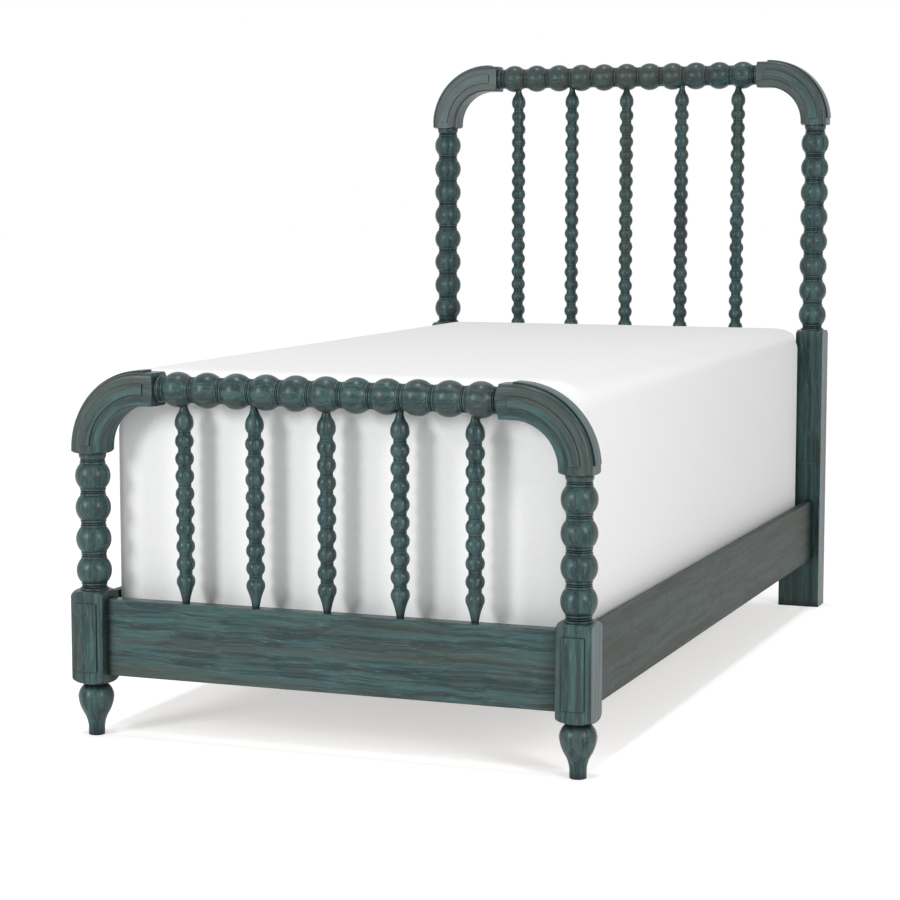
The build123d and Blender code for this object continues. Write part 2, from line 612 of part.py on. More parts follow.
def elbow_strip(side, axis_height, y):
    """Strip along the outside of an elbow's bend."""
    thickness = STRIP_PROUD - FIT
    middle = ELBOW_SQUARE / 2 + FIT + thickness / 2
    section = Pos(middle, 0) * Rectangle(thickness, STRIP_WIDTH)
    section = fillet(section.vertices().group_by(Axis.X)[-1], PANEL_EASE)
    return elbow_in_place(bent_bar(section, STRIP_STOP, STRIP_RUN_OUT), side, axis_height, y)


def foot_block_panel(side):
    """Raised panel on the front of a foot block."""
    face = FOOT_Y - HALF_BLOCK
    heights = (FOOT_BLOCK_BOTTOM + BLOCK_PANEL_MARGIN, FOOT_BLOCK_TOP - BLOCK_PANEL_MARGIN)
    panel = span(around(side * POST_X, BLOCK_PANEL_WIDTH), (face - BLOCK_PANEL_PROUD, face), heights)
    return fillet(panel.faces().sort_by(Axis.Y)[0].edges(), PANEL_EASE)


# Rails and spindles

def top_rail(axis_height, y):
    """Beaded rail with a hole for each spindle's pin."""
    rail = bead_string(0, TOP_BEADS, TOP_PITCH)
    rail = Pos(-TOP_RAIL_SPAN / 2, y, axis_height) * Rot(0, 90, 0) * rail
    tools = []
    pin_hole_top = axis_height - PIN_BELOW_AXIS + HOLE_RELIEF
    for x in SPINDLE_XS:
        hole = Cylinder(SPINDLE_PIN_RADIUS + FIT, 2 * BEAD_RADIUS, align=FROM_TOP)
        tools.append(Pos(x, y, pin_hole_top) * hole)
    for side in (-1, 1):
        tools.append(dowel_hole(side * (TOP_RAIL_SPAN / 2 + NECK_GROOVE), y, axis_height, (1, 0, 0)))
    return cut(rail, tools)


def lower_rail(rail_bottom, y):
    """Board between two posts, with a hole for each spindle's tenon."""
    top = rail_bottom + RAIL_HEIGHT
    length = POST_SPACING - BLOCK_SQUARE
    rail = span(around(0, length), around(y, RAIL_THICKNESS), (rail_bottom, top))
    rail = fillet(rail.edges().filter_by(Axis.X), RAIL_EASE)
    tools = []
    for x in SPINDLE_XS:
        depth = SPINDLE_TENON_LENGTH + HOLE_RELIEF
        hole = Cylinder(SPINDLE_TENON_RADIUS + FIT, depth, align=FROM_TOP)
        tools.append(Pos(x, y, top) * hole)
    for x, dowel_y, z in rail_dowel_seats(rail_bottom, y):
        tools.append(dowel_hole(x, dowel_y, z, (1, 0, 0)))
    return cut(rail, tools)


def small_neck(middle, edge):
    """Outline over the neck between two small beads."""
    groove = edge - SMALL_GROOVE_DEPTH
    ring_edge = edge - SMALL_GROOVE_DEPTH / 2
    return [
        [(edge, middle - SMALL_BAND)],
        [(groove, middle - SMALL_GROOVE)],
        [(ring_edge, middle - SMALL_RING)],
        [(edge, middle), (ring_edge, middle + SMALL_RING)],
        [(groove, middle + SMALL_GROOVE)],
        [(edge, middle + SMALL_BAND)],
        [(edge, middle + SMALL_NECK_HALF)],
    ]


def spindle(rail_top, axis_height, x, y):
    """Beaded spindle that tapers to a tenon below and swells to a pin above."""
    lowest = rail_top + LOWER_DROP
    highest = axis_height - BEAD_RADIUS - UPPER_DROP
    steps = round((highest - lowest) / SMALL_PITCH)
    pitch = (highest - lowest) / steps
    edge = math.sqrt(SMALL_RADIUS**2 - (pitch / 2 - SMALL_NECK_HALF) ** 2)
    hip_drop = SPINDLE_HIP_SHARE * SMALL_RADIUS
    hip = (math.sqrt(SMALL_RADIUS**2 - hip_drop**2), lowest - hip_drop)
    tail = (SPINDLE_TAIL_RADIUS, rail_top + SPINDLE_TAIL_LENGTH)
    waist = ((hip[0] + tail[0]) / 2 - SPINDLE_TAPER_HOLLOW, (hip[1] + tail[1]) / 2)
    moves = [
        [(SPINDLE_TENON_RADIUS, rail_top)],
        [(SPINDLE_TAIL_RADIUS, rail_top)],
        [tail],
        [waist, hip],
    ]
    wide_angle = math.radians(SPINDLE_WIDE_ANGLE)
    below_widest = (SMALL_RADIUS * math.cos(wide_angle), lowest - SMALL_RADIUS * math.sin(wide_angle))
    moves.append([below_widest, (SMALL_RADIUS, lowest)])
    side_angle = math.radians(SPINDLE_SIDE_ANGLE)
    side_radius = SMALL_RADIUS * math.cos(side_angle)
    upper = SMALL_RADIUS * math.sin(side_angle)
    for i in range(steps):
        neck = lowest + (i + 0.5) * pitch
        bead = neck + pitch / 2
        rise = neck - pitch / 2
        moves.append([(side_radius, rise + upper), (edge, neck - SMALL_NECK_HALF)])
        moves += small_neck(neck, edge)
        moves.append([(side_radius, bead - upper), (SMALL_RADIUS, bead)])
    under_rail = highest + UPPER_DROP
    cheek = (SMALL_RADIUS - SPINDLE_CHEEK_STEP, highest + SPINDLE_CHEEK_SHARE * UPPER_DROP)
    brow = (SMALL_RADIUS - SPINDLE_BROW_STEP, highest + SPINDLE_BROW_SHARE * UPPER_DROP)
    flare = (SPINDLE_PIN_RADIUS + SPINDLE_TOP_FLARE, highest + SPINDLE_TOP_SHARE * UPPER_DROP)
    moves += [
        [cheek, brow],
        [flare, (SPINDLE_PIN_RADIUS + SPINDLE_TOP_STEP, under_rail)],
        [(SPINDLE_PIN_RADIUS, under_rail)],
        [(SPINDLE_PIN_RADIUS, axis_height - PIN_BELOW_AXIS)],
    ]
    return Pos(x, y, 0) * turned((SPINDLE_TENON_RADIUS, rail_top - SPINDLE_TENON_LENGTH), moves)


def side_rail(side):
    """Board that joins the foot end to the head end."""
    rail = span((side * SIDE_RAIL_IN, side * SIDE_RAIL_OUT), SIDE_RAIL_Y, (RAIL_BOTTOM, RAIL_TOP))
    rail = fillet(rail.edges().filter_by(Axis.Y), RAIL_EASE)
    tools = place(screw_hole(PLATE_SCREW_LENGTH), hook_screw_seats(side))
    tools += place(screw_hole(LONG_SCREW_LENGTH), cleat_screw_seats(side))
    return cut(rail, tools)


# Rail fittings

def hook_plate(side, face, way):
    """Plate on a side rail's inner face, with two hooks that drop into the post's slots."""
    height = RAIL_HEIGHT - HOOK_PLATE_SHORTER
    xs = (side * HOOK_X[0], side * HOOK_X[1])
    plate = span(xs, (face - way * HOOK_PLATE_LENGTH, face), around(RAIL_MIDDLE, height))
    behind = face + way * (PLATE_THICKNESS + HOOK_GAP)
    end = behind + way * HOOK_THICKNESS
    for low in hook_bottoms():
        plate += span(xs, (face, end), (low, low + HOOK_NECK))
        plate += span(xs, (behind, end), (low - HOOK_TIP, low + HOOK_NECK))
    return plate


def slot_plate(side, face, way):
    """Slotted plate let into a post's face."""
    height = RAIL_HEIGHT - SLOT_PLATE_SHORTER
    xs = around(side * HOOK_MIDDLE, SLOT_PLATE_WIDTH)
    ys = (face, face + way * PLATE_THICKNESS)
    plate = span(xs, ys, around(RAIL_MIDDLE, height))
    slot_width = PLATE_THICKNESS + 2 * SLOT_SIDE_GAP
    slot_xs = around(side * HOOK_MIDDLE, slot_width)
    tools = [span(slot_xs, ys, (low, low + SLOT_HEIGHT)) for low in hook_bottoms()]
    tools += place(screw_hole(PLATE_SCREW_LENGTH), slot_screw_seats(side, face, way))
    return cut(plate, tools)


# Slats, their cleats and legs

def side_cleat(side):
    """Strip on a side rail's inner face that carries the slats."""
    xs = (side * (SIDE_RAIL_IN - CLEAT_SQUARE), side * SIDE_RAIL_IN)
    cleat = span(xs, CLEAT_Y, (CLEAT_BOTTOM, SLAT_BOTTOM))
    tools = place(screw_hole(LONG_SCREW_LENGTH), cleat_screw_seats(side))
    for y in SLAT_YS:
        seats = [seat for seat in slat_end_seats(y) if seat[0][0] * side > 0]
        tools += place(screw_hole(LONG_SCREW_LENGTH), seats)
    return cut(cleat, tools)


def slat(index):
    """Board across the two cleats; the two middle ones also have a leg."""
    y = SLAT_YS[index]
    length = 2 * (SIDE_RAIL_IN - SLAT_END_GAP)
    board = span(around(0, length), around(y, SLAT_WIDTH), (SLAT_BOTTOM, SLAT_TOP))
    board = fillet(board.edges().filter_by(Axis.X), RAIL_EASE)
    seats = slat_end_seats(y)
    if 0 < index < SLAT_COUNT - 1:
        seats += slat_leg_seats(y)
    return cut(board, place(screw_hole(LONG_SCREW_LENGTH), seats))


def slat_leg(y):
    """Square leg under a middle slat, bored for its screw glide."""
    leg = Pos(0, y, 0) * square_prism(SLAT_LEG_SQUARE, SLAT_LEG_BOTTOM, SLAT_BOTTOM, RAIL_EASE)
    depth = STEM_TOP + GLIDE_TRAVEL + HOLE_RELIEF - SLAT_LEG_BOTTOM
    bore = Cylinder(INSERT_RADIUS + FIT, depth, align=FROM_BOTTOM)
    tools = [Pos(0, y, SLAT_LEG_BOTTOM) * bore]
    tools += place(screw_hole(LONG_SCREW_LENGTH), slat_leg_seats(y))
    return cut(leg, tools)


def glide_pad(y):
    """Round pad with a socket for its stem."""
    socket = STEM_RADIUS + FIT
    floor = GLIDE_HEIGHT - GLIDE_SOCKET_DEPTH
    pad = turned(
        (GLIDE_RADIUS - GLIDE_SOLE_EASE, 0),
        [
            [(GLIDE_RADIUS, GLIDE_SOLE_EASE)],
            [(GLIDE_RADIUS, GLIDE_HEIGHT - GLIDE_TOP_DROP)],
            [(GLIDE_RADIUS - GLIDE_TOP_SLOPE, GLIDE_HEIGHT)],
        ],
    )
    pad -= Pos(0, 0, floor) * Cylinder(socket, GLIDE_SOCKET_DEPTH, align=FROM_BOTTOM)
    return Pos(0, y, 0) * pad


def glide_stem(y):
    """Threaded stem with a hexagon for the spanner."""
    low = GLIDE_HEIGHT - GLIDE_SOCKET_DEPTH + FIT
    stem = Pos(0, 0, low) * Cylinder(STEM_RADIUS, STEM_TOP - low, align=FROM_BOTTOM)
    stem = chamfer(stem.edges().filter_by(GeomType.CIRCLE).sort_by(Axis.Z)[-1], STEM_CHAMFER)
    hexagon = RegularPolygon(STEM_HEX_ACROSS / 2, 6, major_radius=False)
    stem += Pos(0, 0, GLIDE_HEIGHT + SOFT_GAP) * extrude(hexagon, STEM_HEX_HEIGHT)
    return Pos(0, y, 0) * stem


def glide_insert(y):
    """Flanged nut driven into a slat leg from below."""
    bottom = SLAT_LEG_BOTTOM - INSERT_FLANGE
    insert = turned(
        (INSERT_FLANGE_RADIUS, bottom),
        [
            [(INSERT_FLANGE_RADIUS, SLAT_LEG_BOTTOM)],
            [(INSERT_RADIUS, SLAT_LEG_BOTTOM)],
            [(INSERT_RADIUS, SLAT_LEG_BOTTOM + INSERT_LENGTH)],
        ],
    )
    bore = Cylinder(INSERT_BORE, INSERT_FLANGE + INSERT_LENGTH, align=FROM_BOTTOM)
    return Pos(0, y, 0) * (insert - Pos(0, 0, bottom) * bore)


# Mattress set

def soft_block(inset, bottom, top, edge, crown):
    """Upholstered block with a crowned top and softly rounded corners and edges.

    inset is how far its sides stand inside the cover's outer face.
    """
    width = BEDDING_WIDTH - 2 * inset
    y0 = BEDDING_Y[0] + inset
    y1 = BEDDING_Y[1] - inset
    middle = (y0 + y1) / 2
    plan = RectangleRounded(width, y1 - y0, SOFT_CORNER - inset)
    block = Pos(0, middle, bottom) * extrude(plan, top - bottom)
    if crown > 0:
        reach = width / 2 + 1
        low = top - crown
        outline = [
            Line((-reach, bottom - 1), (reach, bottom - 1)),
            Line((reach, bottom - 1), (reach, low)),
            ThreePointArc((reach, low), (0, top), (-reach, low)),
            Line((-reach, low), (-reach, bottom - 1)),
        ]
        front = Plane(origin=(0, y0 - 1, 0), x_dir=(1, 0, 0), z_dir=(0, -1, 0)) * make_face(outline)
        block &= extrude(front, -(y1 - y0 + 2))
    upper = block.faces().sort_by(Axis.Z)[-1].edges()
    return fillet(upper, edge)


def mattress_set():
    """Box spring, mattress and the cover drawn over both."""
    inset = COVER_THICKNESS + SOFT_GAP
    spring_bottom = SLAT_TOP + SOFT_GAP
    spring_top = spring_bottom + BOX_SPRING_HEIGHT
    box_spring = soft_block(inset, spring_bottom, spring_top, BOX_SPRING_EDGE, 0)
    mattress_top = BEDDING_TOP - inset
    mattress = soft_block(inset, spring_top + SOFT_GAP, mattress_top, SOFT_EDGE - inset, SOFT_CROWN)
    hem = SLAT_TOP + COVER_HEM
    cover = soft_block(0, hem, BEDDING_TOP, SOFT_EDGE, SOFT_CROWN)
    inner_top = BEDDING_TOP - COVER_THICKNESS
    cover -= soft_block(COVER_THICKNESS, hem - 1, inner_top, SOFT_EDGE - COVER_THICKNESS, SOFT_CROWN)
    return box_spring, mattress, cover


# The whole bed
nodes = {}
for name, side in SIDES.items():
    nodes[f"foot_post_{name}"] = foot_post(side)
    nodes[f"foot_leg_{name}"] = foot_leg(side)
    nodes[f"head_post_{name}"] = head_post(side)
    nodes[f"head_leg_{name}"] = head_leg(side)
    nodes[f"foot_block_panel_{name}"] = foot_block_panel(side)
    nodes[f"side_rail_{name}"] = side_rail(side)
    nodes[f"side_cleat_{name}"] = side_cleat(side)
    for end, axis_height, y in (("foot", FOOT_RAIL_AXIS, FOOT_Y), ("head", HEAD_RAIL_AXIS, HEAD_Y)):
        nodes[f"{end}_elbow_{name}"] = elbow(side, axis_height, y)
        nodes[f"{end}_elbow_panel_{name}"] = elbow_panel(side, axis_height, y)
        nodes[f"{end}_elbow_strip_{name}"] = elbow_strip(side, axis_height, y)

nodes["foot_top_rail"] = top_rail(FOOT_RAIL_AXIS, FOOT_Y)
nodes["head_top_rail"] = top_rail(HEAD_RAIL_AXIS, HEAD_Y)
nodes["foot_lower_rail"] = lower_rail(RAIL_BOTTOM, FOOT_Y)
nodes["head_lower_rail"] = lower_rail(HEAD_RAIL_TOP - RAIL_HEIGHT, HEAD_Y)
for i, x in enumerate(SPINDLE_XS, start=1):
    nodes[f"foot_spindle_{i}"] = spindle(RAIL_TOP, FOOT_RAIL_AXIS, x, FOOT_Y)
    nodes[f"head_spindle_{i}"] = spindle(HEAD_RAIL_TOP, HEAD_RAIL_AXIS, x, HEAD_Y)

MIDDLE_SLATS = {"front": SLAT_YS[1], "back": SLAT_YS[SLAT_COUNT - 2]}
for i in range(SLAT_COUNT):
    nodes[f"slat_{i + 1}"] = slat(i)
for name, y in MIDDLE_SLATS.items():
    nodes[f"slat_leg_{name}"] = slat_leg(y)
    nodes[f"glide_pad_{name}"] = glide_pad(y)
    nodes[f"glide_stem_{name}"] = glide_stem(y)

nodes["box_spring"], nodes["mattress"], nodes["bedding_cover"] = mattress_set()

# Fittings and fasteners that share a node
ends = [(side, face, way) for side in (-1, 1) for face, way in rail_ends()]
hook_screws = [seat for side in (-1, 1) for seat in hook_screw_seats(side)]
slot_screws = [seat for end in ends for seat in slot_screw_seats(*end)]
cleat_seats = [seat for side in (-1, 1) for seat in cleat_screw_seats(side)]
slat_seats = [seat for y in SLAT_YS for seat in slat_end_seats(y)]
slat_seats += [seat for y in MIDDLE_SLATS.values() for seat in slat_leg_seats(y)]

dowels = []
bed_ends = ((FOOT_LAST_NECK, FOOT_RAIL_AXIS, FOOT_Y), (HEAD_LAST_NECK, HEAD_RAIL_AXIS, HEAD_Y))
for side in (-1, 1):
    for last_neck, axis_height, y in bed_ends:
        dowels.append(dowel(side * POST_X, y, last_neck + NECK_GROOVE, (0, 0, 1)))
        dowels.append(dowel(side * (TOP_RAIL_SPAN / 2 + NECK_GROOVE), y, axis_height, (1, 0, 0)))
    dowels += [dowel(x, y, z, (0, 0, 1)) for x, y, z in head_leg_dowel_seats(side)]
for rail_bottom, y in ((RAIL_BOTTOM, FOOT_Y), (HEAD_RAIL_TOP - RAIL_HEIGHT, HEAD_Y)):
    dowels += [dowel(x, dowel_y, z, (1, 0, 0)) for x, dowel_y, z in rail_dowel_seats(rail_bottom, y)]

hook_plates = [cut(hook_plate(*end), place(screw_hole(PLATE_SCREW_LENGTH), hook_screws)) for end in ends]
nodes["rail_hook_plates"] = Compound(children=hook_plates)
nodes["post_slot_plates"] = Compound(children=[slot_plate(*end) for end in ends])
nodes["plate_screws"] = Compound(children=place(screw(PLATE_SCREW_LENGTH), hook_screws + slot_screws))
nodes["cleat_screws"] = Compound(children=place(screw(LONG_SCREW_LENGTH), cleat_seats))
nodes["slat_screws"] = Compound(children=place(screw(LONG_SCREW_LENGTH), slat_seats))
nodes["glide_inserts"] = Compound(children=[glide_insert(y) for y in MIDDLE_SLATS.values()])
nodes["frame_dowels"] = Compound(children=dowels)

for name, shape in nodes.items():
    export_step(shape, f"parts/{name}.step")
print(len(nodes), "nodes written")
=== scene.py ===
"""Looks of a single bed with beaded posts, in metres, in the frame of its CAD model.

The CAD nodes keep their shapes and get procedural finishes. The three soft nodes are replaced by a
mattress, a box spring and a cover that is drawn over both.
"""

import logging
import math
from dataclasses import dataclass
from enum import Enum

import bmesh
import bpy
from mathutils import Euler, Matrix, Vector


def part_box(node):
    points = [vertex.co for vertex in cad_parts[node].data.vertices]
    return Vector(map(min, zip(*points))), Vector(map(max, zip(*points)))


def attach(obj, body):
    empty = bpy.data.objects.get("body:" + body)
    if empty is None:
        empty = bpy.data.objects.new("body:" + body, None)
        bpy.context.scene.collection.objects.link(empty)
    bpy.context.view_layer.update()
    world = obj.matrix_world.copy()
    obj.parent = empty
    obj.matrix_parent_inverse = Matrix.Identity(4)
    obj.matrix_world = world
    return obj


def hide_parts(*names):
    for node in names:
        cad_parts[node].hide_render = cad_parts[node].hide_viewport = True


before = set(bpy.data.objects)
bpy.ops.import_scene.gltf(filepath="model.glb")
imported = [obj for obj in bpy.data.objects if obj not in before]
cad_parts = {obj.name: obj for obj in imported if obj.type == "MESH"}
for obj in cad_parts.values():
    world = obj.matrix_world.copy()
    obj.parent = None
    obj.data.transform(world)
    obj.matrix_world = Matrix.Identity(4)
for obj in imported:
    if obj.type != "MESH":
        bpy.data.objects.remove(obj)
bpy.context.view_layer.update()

Colour = tuple[float, float, float]
Point = tuple[float, float, float]
Span = tuple[float, float]
NoiseShape = tuple[float, float, float]

LOG = logging.getLogger("bed")

ELBOW_BEND_X = 0.387
FOOT_BEND_Z = 0.581
HEAD_BEND_Z = 1.266


class Grain(Enum):
    """The way the wood's grain and the brush strokes run."""

    ACROSS_BED = (1.0, 0.0, 0.0)
    ALONG_BED = (0.0, 1.0, 0.0)
    UPRIGHT = (0.0, 0.0, 1.0)


class Socket(Enum):
    """Kinds of socket that a shader node group has."""

    NUMBER = "NodeSocketFloat"
    COLOUR = "NodeSocketColor"
    VECTOR = "NodeSocketVector"


class ShaderTree:
    """A node tree with short calls to add nodes and join them."""

    def __init__(self, tree: bpy.types.NodeTree) -> None:
        """Start on an existing tree.

        Args:
            tree: The material's, world's or group's node tree.
        """
        self.tree = tree

    def add(self, kind: str, **settings: object) -> bpy.types.Node:
        """Add a node and set its properties.

        Args:
            kind: The node's Blender type without the ShaderNode prefix.
            settings: Properties of the node, by name.

        Returns:
            The new node.
        """
        node = self.tree.nodes.new("ShaderNode" + kind)
        for name, value in settings.items():
            setattr(node, name, value)
        return node

    def join(self, source: bpy.types.NodeSocket, target: bpy.types.NodeSocket) -> None:
        """Link an output socket to an input socket.

        Args:
            source: The output socket.
            target: The input socket.
        """
        self.tree.links.new(source, target)

    def feed(self, target: bpy.types.NodeSocket, value: object) -> None:
        """Give an input socket a value, or link it where the value is a socket.

        Args:
            target: The input socket.
            value: A number, a tuple or an output socket.
        """
        if isinstance(value, bpy.types.NodeSocket):
            self.join(value, target)
        else:
            target.default_value = value

    def sums(self, operation: str, a: object, b: object = 0.0,
             clamp: bool = False) -> bpy.types.NodeSocket:
        """Add a Math node.

        Args:
            operation: The node's operation, such as MULTIPLY.
            a: First number or socket.
            b: Second number or socket.
            clamp: Whether the result is kept from 0 to 1.

        Returns:
            The node's output socket.
        """
        node = self.add("Math", operation=operation, use_clamp=clamp)
        self.feed(node.inputs[0], a)
        self.feed(node.inputs[1], b)
        return node.outputs[0]

    def ramp(self, source: bpy.types.NodeSocket, low: float, high: float) -> bpy.types.NodeSocket:
        """Stretch a value smoothly so that low becomes 0 and high becomes 1.

        Args:
            source: The value.
            low: The value that becomes 0.
            high: The value that becomes 1; it may be under low.

        Returns:
            The stretched value, kept from 0 to 1.
        """
        node = self.add("MapRange", interpolation_type="SMOOTHSTEP")
        self.join(source, node.inputs["Value"])
        turned_over = high < low
        node.inputs["From Min"].default_value = min(low, high)
        node.inputs["From Max"].default_value = max(low, high)
        node.inputs["To Min"].default_value = 1.0 if turned_over else 0.0
        node.inputs["To Max"].default_value = 0.0 if turned_over else 1.0
        return node.outputs["Result"]

    def noise(self, vector: bpy.types.NodeSocket, scale: float, detail: float,
              roughness: float) -> bpy.types.NodeSocket:
        """Add a noise texture.

        Args:
            vector: Where it is read.
            scale: Features per unit of the vector.
            detail: Number of finer layers.
            roughness: Strength of the finer layers.

        Returns:
            The noise, around a half.
        """
        node = self.add("TexNoise")
        self.join(vector, node.inputs["Vector"])
        node.inputs["Scale"].default_value = scale
        node.inputs["Detail"].default_value = detail
        node.inputs["Roughness"].default_value = roughness
        return node.outputs["Fac"]

    def blend(self, mask: object, below: object, above: object) -> bpy.types.NodeSocket:
        """Blend two colours.

        Args:
            mask: Share of the colour above.
            below: Colour or socket under it.
            above: Colour or socket laid over it.

        Returns:
            The blended colour.
        """
        node = self.add("Mix", data_type="RGBA", blend_type="MIX")
        self.feed(node.inputs["Factor"], mask)
        self.feed(node.inputs["A"], _colour(below))
        self.feed(node.inputs["B"], _colour(above))
        return node.outputs["Result"]


def _colour(value: object) -> object:
    """A colour with its alpha added, or the socket as it is.

    Args:
        value: A colour of three numbers, or an output socket.

    Returns:
        The colour of four numbers, or the same socket.
    """
    return (*value, 1.0) if isinstance(value, tuple) and len(value) == 3 else value


class NodeGroup:
    """A shader node group that is built once and placed in each material that needs it."""

    title: str = "group"
    ins: tuple[tuple[str, Socket, object], ...] = ()
    outs: tuple[tuple[str, Socket], ...] = ()

    def draw(self, tree: ShaderTree, start: bpy.types.Node, end: bpy.types.Node) -> None:
        """Draw the group's nodes between its input node and its output node.

        Args:
            tree: The group's tree.
            start: The group's input node.
            end: The group's output node.
        """
        raise NotImplementedError

    def group(self) -> bpy.types.NodeTree:
        """The group's node tree, made at the first call.

        Returns:
            The node tree, the same one at each call.
        """
        found = bpy.data.node_groups.get(self.title)
        if found:
            return found
        made = bpy.data.node_groups.new(self.title, "ShaderNodeTree")
        for name, kind, value in self.ins:
            socket = made.interface.new_socket(name, in_out="INPUT", socket_type=kind.value)
            socket.default_value = value
        for name, kind in self.outs:
            made.interface.new_socket(name, in_out="OUTPUT", socket_type=kind.value)
        start = made.nodes.new("NodeGroupInput")
        end = made.nodes.new("NodeGroupOutput")
        self.draw(ShaderTree(made), start, end)
        return made

    def place(self, tree: ShaderTree, **values: object) -> bpy.types.Node:
        """Put the group in a material.

        Args:
            tree: The material's tree.
            values: Numbers or sockets for the group's inputs, by name with _ for a space.

        Returns:
            The group node.
        """
        node = tree.add("Group", node_tree=self.group())
        for name, value in values.items():
            tree.feed(node.inputs[name.replace("_", " ")], value)
        return node


class BrushStrokes(NodeGroup):
    """Long streaks along the grain, broad and hair-fine, as a brush and a rag leave them in glaze."""

    title = "brush strokes"
    ins = (("Place", Socket.VECTOR, (0.0, 0.0, 0.0)), ("Along", Socket.VECTOR, (1.0, 1.0, 1.0)))
    outs = tuple((name, Socket.NUMBER) for name in ("Broad", "Fine", "Patch", "Mottle"))
    drift_scale: float = 9.0
    drift_reach: float = 0.012
    broad_noise: NoiseShape = (95.0, 4.0, 0.6)
    fine_noise: NoiseShape = (420.0, 3.0, 0.65)
    patch_noise: NoiseShape = (26.0, 2.0, 0.5)
    mottle_noise: NoiseShape = (38.0, 5.0, 0.6)

    def draw(self, tree: ShaderTree, start: bpy.types.Node, end: bpy.types.Node) -> None:
        """Read noise on coordinates that are squeezed along the grain.

        Args:
            tree: The group's tree.
            start: The group's input node.
            end: The group's output node.
        """
        place = start.outputs["Place"]
        squeezed = tree.add("VectorMath", operation="MULTIPLY")
        tree.join(place, squeezed.inputs[0])
        tree.join(start.outputs["Along"], squeezed.inputs[1])
        drift = tree.add("TexNoise", noise_dimensions="3D")
        tree.join(place, drift.inputs["Vector"])
        drift.inputs["Scale"].default_value = self.drift_scale
        drift.inputs["Detail"].default_value = 1.0
        wavy = tree.add("VectorMath", operation="MULTIPLY_ADD")
        tree.join(drift.outputs["Color"], wavy.inputs[0])
        wavy.inputs[1].default_value = (self.drift_reach,) * 3
        tree.join(squeezed.outputs[0], wavy.inputs[2])
        along = wavy.outputs[0]
        tree.join(tree.noise(along, *self.broad_noise), end.inputs["Broad"])
        tree.join(tree.noise(along, *self.fine_noise), end.inputs["Fine"])
        tree.join(tree.noise(along, *self.patch_noise), end.inputs["Patch"])
        tree.join(tree.noise(place, *self.mottle_noise), end.inputs["Mottle"])


class BentPlace(NodeGroup):
    """Coordinates round an elbow's bend: along its curve, through its depth and out from the bend."""

    title = "bent place"
    ins = (("Bend X", Socket.NUMBER, ELBOW_BEND_X), ("Bend Z", Socket.NUMBER, FOOT_BEND_Z))
    outs = (("Place", Socket.VECTOR),)
    curve_radius: float = 0.13

    def draw(self, tree: ShaderTree, start: bpy.types.Node, end: bpy.types.Node) -> None:
        """Turn the object's coordinates into an angle and a distance from the bend's axis.

        Args:
            tree: The group's tree.
            start: The group's input node.
            end: The group's output node.
        """
        parts = tree.add("SeparateXYZ")
        tree.join(tree.add("TexCoord").outputs["Object"], parts.inputs[0])
        side_x = tree.sums("ABSOLUTE", parts.outputs["X"])
        out_x = tree.sums("SUBTRACT", side_x, start.outputs["Bend X"])
        out_z = tree.sums("SUBTRACT", parts.outputs["Z"], start.outputs["Bend Z"])
        square_x = tree.sums("MULTIPLY", out_x, out_x)
        square_z = tree.sums("MULTIPLY", out_z, out_z)
        square = tree.sums("ADD", square_x, square_z)
        angle = tree.sums("ARCTAN2", out_z, out_x)
        joined = tree.add("CombineXYZ")
        tree.join(tree.sums("MULTIPLY", angle, self.curve_radius), joined.inputs["X"])
        tree.join(parts.outputs["Y"], joined.inputs["Y"])
        tree.join(tree.sums("SQRT", square), joined.inputs["Z"])
        tree.join(joined.outputs[0], end.inputs["Place"])


class Hollows(NodeGroup):
    """Mask of grooves and inner corners, for painted shade there and for glazing that stays in narrow
    grooves when the rest is wiped off.
    """

    title = "hollows"
    ins = (("Reach", Socket.NUMBER, 0.006),)
    outs = (("Mask", Socket.NUMBER),)

    def draw(self, tree: ShaderTree, start: bpy.types.Node, end: bpy.types.Node) -> None:
        """Turn the occlusion of near surfaces into a mask.

        Args:
            tree: The group's tree.
            start: The group's input node.
            end: The group's output node.
        """
        shade = tree.add("AmbientOcclusion", samples=6)
        tree.join(start.outputs["Reach"], shade.inputs["Distance"])
        tree.join(tree.sums("SUBTRACT", 1.0, shade.outputs["AO"], clamp=True), end.inputs["Mask"])


class WornEdgesAndHighlight(NodeGroup):
    """Mask of outer edges, where paint is rubbed thin and where a lighter colour also stands in as a
    painted highlight, broken up by noise.
    """

    title = "worn edges with painted highlight"
    ins = (("Width", Socket.NUMBER, 0.0015),)
    outs = (("Mask", Socket.NUMBER),)
    breakup_noise: NoiseShape = (45.0, 4.0, 0.6)
    breakup_range: Span = (0.38, 0.62)
    facing_range: Span = (0.995, 0.86)

    def draw(self, tree: ShaderTree, start: bpy.types.Node, end: bpy.types.Node) -> None:
        """Compare the plain normal with one that is rounded over the width.

        Args:
            tree: The group's tree.
            start: The group's input node.
            end: The group's output node.
        """
        rounded = tree.add("Bevel", samples=4)
        tree.join(start.outputs["Width"], rounded.inputs["Radius"])
        plain = tree.add("NewGeometry")
        facing = tree.add("VectorMath", operation="DOT_PRODUCT")
        tree.join(rounded.outputs["Normal"], facing.inputs[0])
        tree.join(plain.outputs["Normal"], facing.inputs[1])
        place = tree.add("TexCoord").outputs["Object"]
        broken = tree.ramp(tree.noise(place, *self.breakup_noise), *self.breakup_range)
        edge = tree.ramp(facing.outputs["Value"], *self.facing_range)
        tree.join(tree.sums("MULTIPLY", edge, broken), end.inputs["Mask"])


